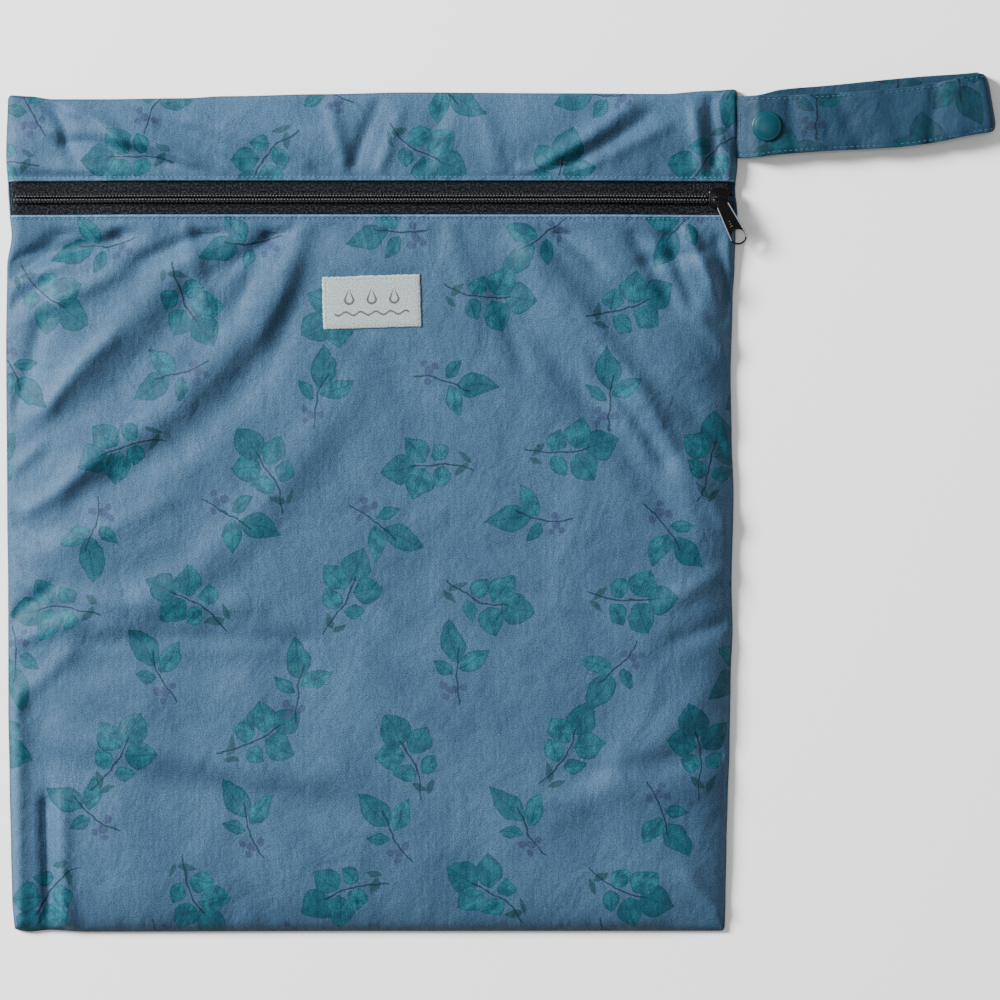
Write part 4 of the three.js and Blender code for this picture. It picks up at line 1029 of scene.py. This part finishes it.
def backPanel():
    # Flat where it rests, turned up at the seam.
    columnPlaces = stations(bag["width"], seamSpacing, panel["backStep"]) / bag["width"]
    rowPlaces = stations(bag["height"], seamSpacing, panel["backStep"]) / bag["height"]

    def place(column, row):
        share, up = columnPlaces[column], rowPlaces[row]
        guess = leftMost + share * bag["width"]
        y = mix(bottomAt(guess), topAt(guess), up)
        x = mix(leftAt(y), rightAt(y), share)
        fromSeam = np.minimum(np.minimum(x - leftAt(y), rightAt(y) - x),
                              np.minimum(y - bottomAt(x), topAt(x) - y))
        z = (bag["seamLine"] - panel["backTuck"]) * (1 - seamRoll(fromSeam * panel["backRoll"]))
        loose = 0.25 * softNoise(x, y, 30, 11) + 0.1 * softNoise(x, y, 12, 12)
        z = z + ramp(4, 20, fromSeam) * np.maximum(0, loose)
        return *roundedCorner(x, y), z, -x, y

    mesh = clothGrid("back", len(columnPlaces) - 1, len(rowPlaces) - 1, place)
    mesh.flip_normals()
    piece = finishMesh(mesh, "back", "bag", "bag_cloth", backCloth, "back_panel")
    thicken(piece, panel["cloth"])
    return piece


backPiece = backPanel()
print("back ready")

# Zip: two tapes, two wound coils, the threads that hold them, and light dots on the coils' heads as painted
# glints.
sliderX = rightMost - slider["fromRight"]
tapeTop = seamLevel + zipper["levelEnds"] - bag["gap"]
parting = slider["post"] / 2 + bag["gap"]
partStart = sliderX - slider["length"] * 0.6
zipLeft, zipRight = float(leftAt(zipY)) + zipper["endInset"], float(rightAt(zipY)) - zipper["endInset"]


def openAt(x):
    return mix(bag["gap"] / 2, parting, ramp(partStart, sliderX - slider["length"] * 0.1, x))


def zipTape(name, side, node):
    columns, rows = 190, 16

    def place(column, row):
        rowShare = row / rows if side > 0 else 1 - row / rows
        guess = mix(zipLeft, zipRight, column / columns)
        y = zipY + side * mix(openAt(guess), zipper["tapeWidth"], rowShare)
        x = mix(leftAt(y) + zipper["endInset"], rightAt(y) - zipper["endInset"], column / columns)
        z = seamLevel + zipLevel(x, y) - bag["gap"] + 0.05 * softNoise(x, y, 6, 21)
        return x, y, z, x, y

    piece = finishMesh(clothGrid(name, columns, rows, place), name, "bag", "zip_tape", tapeWeave, node)
    thicken(piece, zipper["tape"] - 0.1)
    return piece


tapes = [zipTape("tapeUpper", 1, "zip_tape_upper"), zipTape("tapeLower", -1, "zip_tape_lower")]


def zipCoil(name, side, node):
    # A wire wound round and flattened, so that its turns show as ribs across the zip.
    turns = int((zipRight - zipLeft) / zipper["pitch"])
    steps = 12
    angle = np.arange(turns * steps + 1) * (2 * math.pi / steps)
    x = zipLeft + (angle / (2 * math.pi) + (0.5 if side > 0 else 0.0)) * zipper["pitch"]
    x = np.minimum(x, zipRight)
    halfWidth = zipper["coilWidth"] / 4 - 0.12
    middle = openAt(x) - bag["gap"] / 2 + halfWidth + 0.14
    y = zipY + side * (middle - halfWidth * np.cos(angle))
    lift = zipper["wire"] / 2 + (zipper["coilHeight"] - zipper["wire"]) * (0.5 + 0.5 * np.sin(angle))
    z = seamLevel + zipLevel(x, np.full_like(x, zipY)) - bag["gap"] + 0.05 + lift
    curve = bpy.data.curves.new(name, "CURVE")
    curve.dimensions = "3D"
    curve.bevel_depth = zipper["wire"] / 2 * 0.001
    curve.bevel_resolution = 0
    curve.use_fill_caps = True
    line = curve.splines.new("POLY")
    line.points.add(len(x) - 1)
    route = np.stack([x, y, z, np.full_like(x, 1000)], axis=1) * 0.001
    line.points.foreach_set("co", route.astype(np.float32).ravel())
    wound = bpy.data.objects.new(name, curve)
    mesh = bpy.data.meshes.new_from_object(wound)
    bpy.data.objects.remove(wound)
    mesh.materials.clear()
    return finishMesh(mesh, name, "bag", "zip_coil", coilNylon, node)


zipCoil("coilUpper", 1, "zip_coil_upper")
zipCoil("coilLower", -1, "zip_coil_lower")

# The first row is light dots on the coil's heads, painted glints; the second is the thread.
coilRows = [
    {"aside": 0.72, "step": 1.3, "length": 0.55, "width": 0.26, "sink": -0.02},
    {"aside": 1.72, "step": 1.73, "length": 1.0, "width": 0.34, "sink": 0.12},
]
for index, row in enumerate(coilRows):
    places = []
    for side in (-1, 1):
        start = zipLeft + 1.5 + (row["step"] / 2 if side > 0 else 0)
        for x in np.arange(start, sliderX - slider["length"] / 2 - 0.6, row["step"]):
            z = float(seamLevel + zipLevel(x, zipY)) + zipper["coilHeight"] - row["sink"] - 0.12
            places.append(((x, zipY + side * row["aside"], z), (1, 0.12 * side, 0), (0, 0, 1)))
    stitchRow(f"coilGlintsAndThreads{index + 1}", places, row["length"], row["width"],
              (paintedCoilGlints, zipThread)[index], slotName="zip_tape")
print("zip ready")

# Slider and pull.
topPlateLow = tapeTop + bag["gap"] + zipper["coilHeight"] + bag["gap"]
topPlateHigh = topPlateLow + slider["plate"]
lowPlateHigh = tapeTop - zipper["tape"] - bag["gap"]
barZ = topPlateHigh + slider["rise"]


def addBlock(shape, size, centre, corner, edge):
    # A block with its upright edges rounded by corner and its top and bottom rims by edge.
    part = bmesh.new()
    place = Matrix.Translation(centre) @ Matrix.Diagonal((*size, 1))
    made = bmesh.ops.create_cube(part, size=1.0, matrix=place)
    edges = list({side for vert in made["verts"] for side in vert.link_edges})
    upright = [e for e in edges if abs((e.verts[0].co - e.verts[1].co).normalized().z) > 0.9]
    bmesh.ops.bevel(part, geom=upright, offset=corner, segments=5, profile=0.5, affect="EDGES",
                    material=-1, clamp_overlap=True)
    if edge:
        ends = (centre[2] - size[2] / 2, centre[2] + size[2] / 2)
        rims = [e for e in part.edges if e.calc_face_angle(0) > 1.2
                and any(all(abs(v.co.z - end) < 1e-4 for v in e.verts) for end in ends)]
        bmesh.ops.bevel(part, geom=rims, offset=edge, segments=2, profile=0.5, affect="EDGES",
                        material=-1, clamp_overlap=True)
    takeMesh(shape, part)


def takeMesh(shape, part):
    mesh = bpy.data.meshes.new("part")
    part.to_mesh(mesh)
    part.free()
    shape.from_mesh(mesh)
    bpy.data.meshes.remove(mesh)


def addWire(shape, path, radius, roundness):
    # A round wire along a path of points.
    curve = bpy.data.curves.new("wire", "CURVE")
    curve.dimensions = "3D"
    curve.bevel_depth = radius
    curve.bevel_resolution = roundness
    curve.use_fill_caps = True
    line = curve.splines.new("POLY")
    line.points.add(len(path) - 1)
    for point, where in zip(line.points, path):
        point.co = (*where, 1)
    addCurve(shape, curve)


def addCurve(shape, curve):
    holder = bpy.data.objects.new("curve", curve)
    mesh = bpy.data.meshes.new_from_object(holder)
    bpy.data.objects.remove(holder)
    shape.from_mesh(mesh)


def metalPiece(name, shape, body, material, *nodes):
    bmesh.ops.scale(shape, vec=(0.001, 0.001, 0.001), verts=shape.verts)
    mesh = bpy.data.meshes.new(name)
    shape.to_mesh(mesh)
    shape.free()
    mesh.materials.clear()
    return finishMesh(mesh, name, body, "zip_metal", material, *nodes)


def sliderPiece():
    shape = bmesh.new()
    half = slider["plate"] / 2
    for level in (topPlateLow + half, lowPlateHigh - half):
        addBlock(shape, (slider["length"], slider["width"], slider["plate"]), (sliderX, zipY, level),
                 slider["plateCorner"], slider["plateEdge"])
    postHigh = topPlateLow - lowPlateHigh + 0.4
    postX = sliderX + slider["length"] * slider["postForward"]
    addBlock(shape, (slider["postLength"], slider["post"], postHigh),
             (postX, zipY, (topPlateLow + lowPlateHigh) / 2), 0.5, 0)
    lipY = zipper["coilWidth"] / 2 + float(openAt(sliderX)) + bag["gap"] + slider["lip"] / 2
    lipHigh = zipper["coilHeight"] + bag["gap"] + slider["sunk"]
    for side in (-1, 1):
        addBlock(shape, (slider["length"] * 0.6, slider["lip"], lipHigh),
                 (sliderX, zipY + side * lipY, topPlateLow + slider["sunk"] - lipHigh / 2), 0.3, 0)
    # The bail: a round bar between two legs, with turned corners.
    reach = pull["knuckle"] / 2 + bag["gap"] + slider["leg"] / 2
    bend = slider["bend"]
    path = [(-reach, topPlateLow + slider["sunk"]), (-reach, barZ - bend)]
    path += [(-reach + bend * (1 - math.cos(a)), barZ - bend * (1 - math.sin(a)))
             for a in (math.pi / 6, math.pi / 3, math.pi / 2)]
    path += [(-x, z) for x, z in reversed(path)]
    addWire(shape, [(sliderX + x, zipY, z) for x, z in path], slider["bar"] / 2, 3)
    metalPiece("slider", shape, "bag", lacquer, "zip_slider")


sliderPiece()


def turnShape(shape, degrees, axis):
    bmesh.ops.rotate(shape, verts=shape.verts, cent=(0, 0, 0),
                     matrix=Matrix.Rotation(math.radians(degrees), 3, axis))


def hangOnBar(name, shape, material, *nodes):
    # Drooped about the bail's bar, which is at the shape's origin, and moved to its place.
    turnShape(shape, pull["droop"], "X")
    bmesh.ops.translate(shape, verts=shape.verts, vec=(sliderX, zipY, barZ))
    metalPiece(name, shape, "pull", material, *nodes)


def pullPiece():
    ring, rim = pull["ringWidth"] / 2, pull["rimRadius"]
    ringY = ring - pull["length"]
    bore = slider["bar"] / 2 + bag["gap"]
    shoulder = -(slider["bar"] + pull["shoulder"])
    halfTop, halfNeck = pull["topWidth"] / 2, pull["knuckle"] / 2 * 0.7
    neck = -(bore + 0.1)
    right = [(halfNeck, neck), (halfNeck, shoulder), (halfTop - 0.5, shoulder - 0.6),
             (halfTop, shoulder - 1.3)]
    outline = [(-x, y) for x, y in right]
    outline += [(ring * math.cos(a), ringY + ring * math.sin(a))
                for a in np.linspace(math.pi, 2 * math.pi, 25)]
    outline += list(reversed(right))
    hole = [(pull["hole"] / 2 * math.cos(a), ringY + pull["hole"] / 2 * math.sin(a))
            for a in np.linspace(0, 2 * math.pi, 33)[:-1]]
    curve = bpy.data.curves.new("pull", "CURVE")
    curve.dimensions = "2D"
    curve.fill_mode = "BOTH"
    curve.extrude = pull["thickness"] / 2 - rim * 0.7
    curve.bevel_depth = rim * 0.4
    curve.bevel_resolution = 1
    curve.offset = -rim * 0.6
    for loop in (outline, hole):
        line = curve.splines.new("POLY")
        line.points.add(len(loop) - 1)
        line.use_cyclic_u = True
        for point, (x, y) in zip(line.points, loop):
            point.co = (x, y, 0, 1)
    shape = bmesh.new()
    addCurve(shape, curve)
    # Raised bars across the plate, above the ring.
    for step in range(pull["bars"]):
        centre = (0, ringY + ring + pull["barStart"] + step * pull["barStep"], pull["thickness"] / 2)
        size = (pull["barLength"] - step * pull["barTaper"], pull["barWidth"], pull["barRise"], 1)
        bmesh.ops.create_cube(shape, size=1.0, matrix=Matrix.Translation(centre) @ Matrix.Diagonal(size))
    turnShape(shape, pull["turn"], "Z")
    # The knuckle: a short tube round the bail's bar.
    tube = bmesh.new()
    half, outside = pull["knuckle"] / 2, bore + pull["knuckleWall"]
    bevelled = bore + pull["knuckleWall"] * 0.7
    within = half - pull["knuckleBevel"]
    section = [(-half, bore), (half, bore), (half, bevelled), (within, outside), (-within, outside),
               (-half, bevelled)]
    points = [tube.verts.new((x, 0, r)) for x, r in section]
    edges = [tube.edges.new(pair) for pair in zip(points, points[1:] + points[:1])]
    bmesh.ops.spin(tube, geom=points + edges, cent=(0, 0, 0), axis=(1, 0, 0), angle=2 * math.pi,
                   steps=28, use_merge=True)
    bmesh.ops.remove_doubles(tube, verts=tube.verts, dist=1e-4)
    bmesh.ops.recalc_face_normals(tube, faces=tube.faces)
    takeMesh(shape, tube)
    hangOnBar("pullTab", shape, lacquer, "zip_pull")


def pullRims():
    # A raised ridge along each edge of the pull's plate, and one round the side of its ring, in a light
    # metal that paints a highlight on them.
    rim = pull["rimRadius"]
    ring = pull["ringWidth"] / 2 - rim
    ringY = pull["ringWidth"] / 2 - pull["length"]
    start = -(slider["bar"] + pull["shoulder"] + 1.6)
    shape = bmesh.new()
    for side in (-1, 1):
        path = [(side * (pull["topWidth"] / 2 - rim), start), (side * ring, ringY)]
        path += [(side * ring * math.cos(a), ringY - ring * math.sin(a))
                 for a in np.linspace(0.15, pull["rimTurn"][side > 0], 8)]
        addWire(shape, [(x, y, pull["thickness"] / 2 - rim * 0.4) for x, y in path], rim, 2)
    turnShape(shape, pull["turn"], "Z")
    hangOnBar("pullRims", shape, paintedRimHighlight)


pullPiece()
pullRims()
print("slider and pull ready")

# Strap: one band out from the seam, round the far fold and back below.
snapX, snapY = rightMost + snap["fromSeam"], strapY
backRaised = snap["back"] + bag["gap"]
studLow = backRaised + strap["thickness"] + bag["gap"]
socketLow = studLow + snap["studBase"] + bag["gap"]
frontRaised = socketLow + snap["socket"] + bag["gap"]
capLow = frontRaised + strap["thickness"] + bag["gap"]
loopHigh = strap["thickness"] + strap["loopRoom"]
foldRadius = loopHigh / 2
strapReach = strap["reach"] - foldRadius - strap["thickness"] / 2
pastSnap = snap["fromSeam"] + snap["width"] / 2
settled = pastSnap + strap["settle"]


def strapPoint(path, offset):
    # path runs out along the front, round the fold and back. offset is a share of the width.
    frontLength = strapReach + strap["tuck"]
    turnLength = math.pi * foldRadius
    out = np.where(path < frontLength, path - strap["tuck"],
                   np.where(path < frontLength + turnLength, strapReach,
                            strapReach - (path - frontLength - turnLength)))
    turn = np.clip((path - frontLength) / turnLength, 0, 1)
    share = out / strap["reach"]
    lift = mix(readCurve(strapTable, "lift", share), readCurve(strapTable, "backLift", share), turn)
    flare = readCurve(strapTable, "flare", share)
    slant = ramp(0.1, 1, share) * strap["slant"]
    aside = offset * strap["width"] * flare * (1 - strap["pinch"] * np.sin(np.pi * turn))
    x = rightMost + out - slant * aside
    y = strapY + lift * strap["reach"] + aside
    risen = mix(seamLevel, frontRaised, ramp(-1.5, strap["rise"] + 3.5, out))
    frontZ = mix(risen, loopHigh, ramp(pastSnap, settled, out)) + strap["thickness"]
    backZ = mix(backRaised, 0.0, ramp(pastSnap, settled, out))
    angle = np.pi * (0.5 - turn)
    outer = foldRadius + strap["thickness"] / 2
    bent = (turn > 0) & (turn < 1)
    z = np.where(bent, outer + outer * np.sin(angle), np.where(turn <= 0, frontZ, backZ))
    drawnIn = 1 - strap["cornerDraw"] * np.abs(2 * offset) ** 8
    x = x + np.where(bent, outer * np.cos(angle) * drawnIn, 0)
    return x, y, z


strapFull = strapReach + strap["tuck"] + math.pi * foldRadius + strapReach - strap["freeEnd"]


def strapPlace(column, row):
    path = column / strapColumns * strapFull
    offset = row / strapRows - 0.5
    x, y, z = strapPoint(path, offset)
    frontSide = path < strapReach + strap["tuck"] + math.pi * foldRadius / 2
    edgeDistance = (0.5 - np.abs(offset)) * strap["width"]
    groove = strap["grooveDepth"] * np.exp(-((edgeDistance - strap["stitchIn"]) / 0.5) ** 2)
    edgeDrop = strap["edgeRound"] * np.exp(-(edgeDistance / 0.5) ** 2)
    dimple = -groove - edgeDrop + 0.25 * softNoise(path, offset * strap["width"], 9.0, 61)
    for dent in strapDents:
        away = path - strap["tuck"] - dent["out"] * strap["reach"] - dent["slant"] * offset * strap["width"]
        dimple = dimple + dent["rise"] * np.exp(-(away / dent["reach"]) ** 2)
    return x, y, z + frontSide * dimple, path + strap["printShift"], offset * strap["width"] + 40


# Soft dents across the strap's front layer: out in shares of the reach, the rest in millimetres.
strapDents = [
    {"out": 0.045, "slant": 0.05, "reach": 1.5, "rise": -0.5},
    {"out": 0.215, "slant": -0.1, "reach": 3.0, "rise": -0.8},
    {"out": 0.3, "slant": -0.25, "reach": 3.6, "rise": 0.6},
    {"out": 0.43, "slant": -0.35, "reach": 4.0, "rise": -0.9},
    {"out": 0.56, "slant": -0.2, "reach": 5.0, "rise": 0.7},
    {"out": 0.765, "slant": 0.2, "reach": 2.8, "rise": -0.9},
    {"out": 0.86, "slant": 0.1, "reach": 4.5, "rise": 0.6},
]
strapColumns, strapRows = 260, 34
strapPiece = finishMesh(clothGrid("strapBand", strapColumns, strapRows, strapPlace),
                        "strapBand", "bag", "bag_cloth", shadedStrapCloth, "strap")
thicken(strapPiece, strap["thickness"] - 0.15, 0.25)

# Stitches: the step between them, their length and their width.
thread = {
    "sunk": 0.12, "ahead": 0.5,
    "strap": {"step": strap["stitchStep"], "length": 1.45, "width": 0.32},
    "hem": {"step": 1.95, "length": 1.3, "width": 0.36},
    "patch": {"step": 1.75, "length": 1.25, "width": 0.34},
}

stitches = []
edgeOffset = 0.5 - strap["stitchIn"] / strap["width"]
for side in (-1, 1):
    for path in np.arange(strap["tuck"] + 1.5, strapReach + strap["tuck"] + 2, thread["strap"]["step"]):
        x, y, z = (float(v) for v in strapPoint(np.float64(path), side * edgeOffset))
        nx, ny, nz = (float(v) for v in strapPoint(np.float64(path + thread["ahead"]), side * edgeOffset))
        stitches.append(((x, y, z - thread["sunk"]), (nx - x, ny - y, nz - z), (0, 0, 1)))
for offset in np.linspace(-0.46, 0.46, 12):
    x, y, z = (float(v) for v in strapPoint(np.float64(strap["tuck"] + 0.9), offset))
    stitches.append(((x, y, z), (0, 1, 0), (0, 0, 1)))
stitchRow("strapStitches", stitches, thread["strap"]["length"], thread["strap"]["width"], strapThread)
print("strap ready")

# Hem stitches beside the zip.
stitches = []
level = bag["cloth"] - thread["sunk"]
for hem, side in ((hemLower, -1), (hemUpper, 1)):
    for x in np.arange(leftMost + 3.0, rightMost - 3.0, thread["hem"]["step"]):
        y = hem + side * panel["hemStitchIn"]
        z = float(frontAt(x, y)) + level
        nz = float(frontAt(x + thread["ahead"], y)) + level
        stitches.append(((x, y, z), (thread["ahead"], 0, nz - z), (0, 0, 1)))
stitchRow("hemStitches", stitches, thread["hem"]["length"], thread["hem"]["width"], hemThread)

# Snap. The cap's profile is in shares of its radius and height, the others are in millimetres.
radius, stud = snap["width"] / 2, snap["stud"] / 2
bore = snap["knob"] / 2 + bag["gap"]
knobTop = snap["studBase"] + bag["gap"] + snap["knobRise"]
capShape = [
    (0, 0), (0.9, 0), (0.975, 0.05), (1.0, 0.16), (0.985, 0.3), (0.94, 0.42), (0.88, 0.5), (0.85, 0.49),
    (0.82, 0.53), (0.72, 0.68), (0.58, 0.82), (0.42, 0.92), (0.22, 0.98), (0, 1.0),
]
snapParts = [
    ("snapCap", "snap_cap", capLow, [(r * radius, h * snap["cap"]) for r, h in capShape]),
    ("snapSocket", "snap_socket", socketLow,
     [(bore, 0), (stud * 0.97, 0), (stud, 0.2), (stud, 0.9), (stud * 0.8, snap["socket"]),
      (bore, snap["socket"]), (bore, 0)]),
    ("snapStud", "snap_stud", studLow,
     [(0, 0), (stud, 0), (stud, 0.5), (stud * 0.9, snap["studBase"]), (1.9, snap["studBase"]),
      (2.2, knobTop * 0.8), (1.75, knobTop), (0, knobTop)]),
    ("snapBackCap", "snap_back_cap", 0,
     [(0, 0), (radius * 0.9, 0), (radius, 0.5), (radius * 0.97, snap["back"]), (0, snap["back"])]),
]
for name, node, low, profile in snapParts:
    turnedPiece(name, profile, (snapX, snapY, low), "snap_plastic", snapGloss, node)
print("snap ready")


# The patch lies on the front and follows it.
def patchPoint(across, up):
    turn = math.radians(patch["turn"])
    x = patch["across"] + across * math.cos(turn) - up * math.sin(turn)
    y = patchY + across * math.sin(turn) + up * math.cos(turn)
    return x, y, frontAt(x, y) + bag["cloth"] + patch["thickness"] + 0.1


def patchPlace(column, row):
    across = (column / patch["columns"] - 0.5) * patch["width"]
    up = (row / patch["rows"] - 0.5) * patch["height"]
    rimX = (column == 0) | (column == patch["columns"])
    rimY = (row == 0) | (row == patch["rows"])
    fray = 0.22 * softNoise(across * 3, up * 3, 2.0, 31)
    x, y, z = patchPoint(across + np.where(rimX, fray, 0), up + np.where(rimY, fray, 0))
    fromRim = np.minimum(patch["width"] / 2 - np.abs(across), patch["height"] / 2 - np.abs(up))
    z = z - 0.2 * np.exp(-(fromRim / 0.6) ** 2) - 0.14 * np.exp(-((fromRim - patch["stitchIn"]) / 0.5) ** 2)
    return x, y, z, across, up


patchMesh = clothGrid("patch", patch["columns"], patch["rows"], patchPlace)
patchPiece = finishMesh(patchMesh, "patch", "bag", "label_cloth", patchTwill, "label")
thicken(patchPiece, patch["thickness"] - 0.1)
halfX, halfY = patch["width"] / 2 - patch["stitchIn"], patch["height"] / 2 - patch["stitchIn"]
turn = math.radians(patch["turn"])
places = []
for side in (-1, 1):
    for across in np.arange(-halfX + 0.6, halfX, thread["patch"]["step"]):
        places.append((across, side * halfY, (math.cos(turn), math.sin(turn), 0)))
    for up in np.arange(-halfY + 0.6, halfY, thread["patch"]["step"]):
        places.append((side * halfX, up, (-math.sin(turn), math.cos(turn), 0)))
stitches = []
for across, up, along in places:
    x, y, z = (float(v) for v in patchPoint(across, up))
    stitches.append(((x, y, z - 0.1), along, (0, 0, 1)))
stitchRow("patchStitches", stitches, thread["patch"]["length"], thread["patch"]["width"], patchThread,
          slotName="label_cloth")
print("patch ready")

# Floor, lights and camera. Lamps stand in metres.
stage = {
    "eye": 1.9, "centreX": 53.1, "centreY": 4.3, "seen": 413.3, "level": 5.0, "film": 36,
    "floorBelow": 0.0002, "floorGrey": 0.92, "world": 0.46,
}
lamps = {
    "key": {"place": (-2.5, 1.3, 1.6), "aim": (0, 0, 0), "size": 1.0, "power": 420.0},
    "overhead": {"place": (-0.1, 0.25, 2.4), "aim": (0.1, 0.1, 0), "size": 0.16, "power": 5.0},
}
floorShape = bmesh.new()
bmesh.ops.create_grid(floorShape, x_segments=1, y_segments=1, size=6.0)
bmesh.ops.translate(floorShape, verts=floorShape.verts, vec=(0, 0, -stage["floorBelow"]))
floorMesh = bpy.data.meshes.new("floor")
floorShape.to_mesh(floorMesh)
floorShape.free()
floorMaterial, tree, shader = newMaterial("paleFloor")
shader.inputs["Base Color"].default_value = (*[stage["floorGrey"]] * 3, 1)
shader.inputs["Roughness"].default_value = 0.9
floorMesh.materials.append(floorMaterial)
floor = bpy.data.objects.new("floor", floorMesh)
bpy.context.scene.collection.objects.link(floor)
floor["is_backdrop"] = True

for name, lamp in lamps.items():
    light = bpy.data.lights.new(name, "AREA")
    light.shape = "RECTANGLE"
    light.size = light.size_y = lamp["size"]
    light.energy = lamp["power"]
    holder = bpy.data.objects.new(name, light)
    holder.location = lamp["place"]
    towards = Vector(lamp["aim"]) - Vector(lamp["place"])
    holder.rotation_euler = towards.to_track_quat("-Z", "Y").to_euler()
    bpy.context.scene.collection.objects.link(holder)

world = bpy.data.worlds.new("studio")
world.use_nodes = True
world.node_tree.nodes["Background"].inputs["Color"].default_value = (1, 1, 1, 1)
world.node_tree.nodes["Background"].inputs["Strength"].default_value = stage["world"]
bpy.context.scene.world = world

camera = bpy.data.cameras.new("camera")
camera.type = "PERSP"
camera.sensor_width = stage["film"]
camera.lens = stage["film"] * (stage["eye"] * 1000 - stage["level"]) / stage["seen"]
camera.clip_end = 20
eye = bpy.data.objects.new("camera", camera)
eye.location = (stage["centreX"] * 0.001, stage["centreY"] * 0.001, stage["eye"])
bpy.context.scene.collection.objects.link(eye)
bpy.context.scene.camera = eye
print("stage ready")


({"cad": [list(corner) for corner in cadBox],
           "visual": [list(corner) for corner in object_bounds()]})
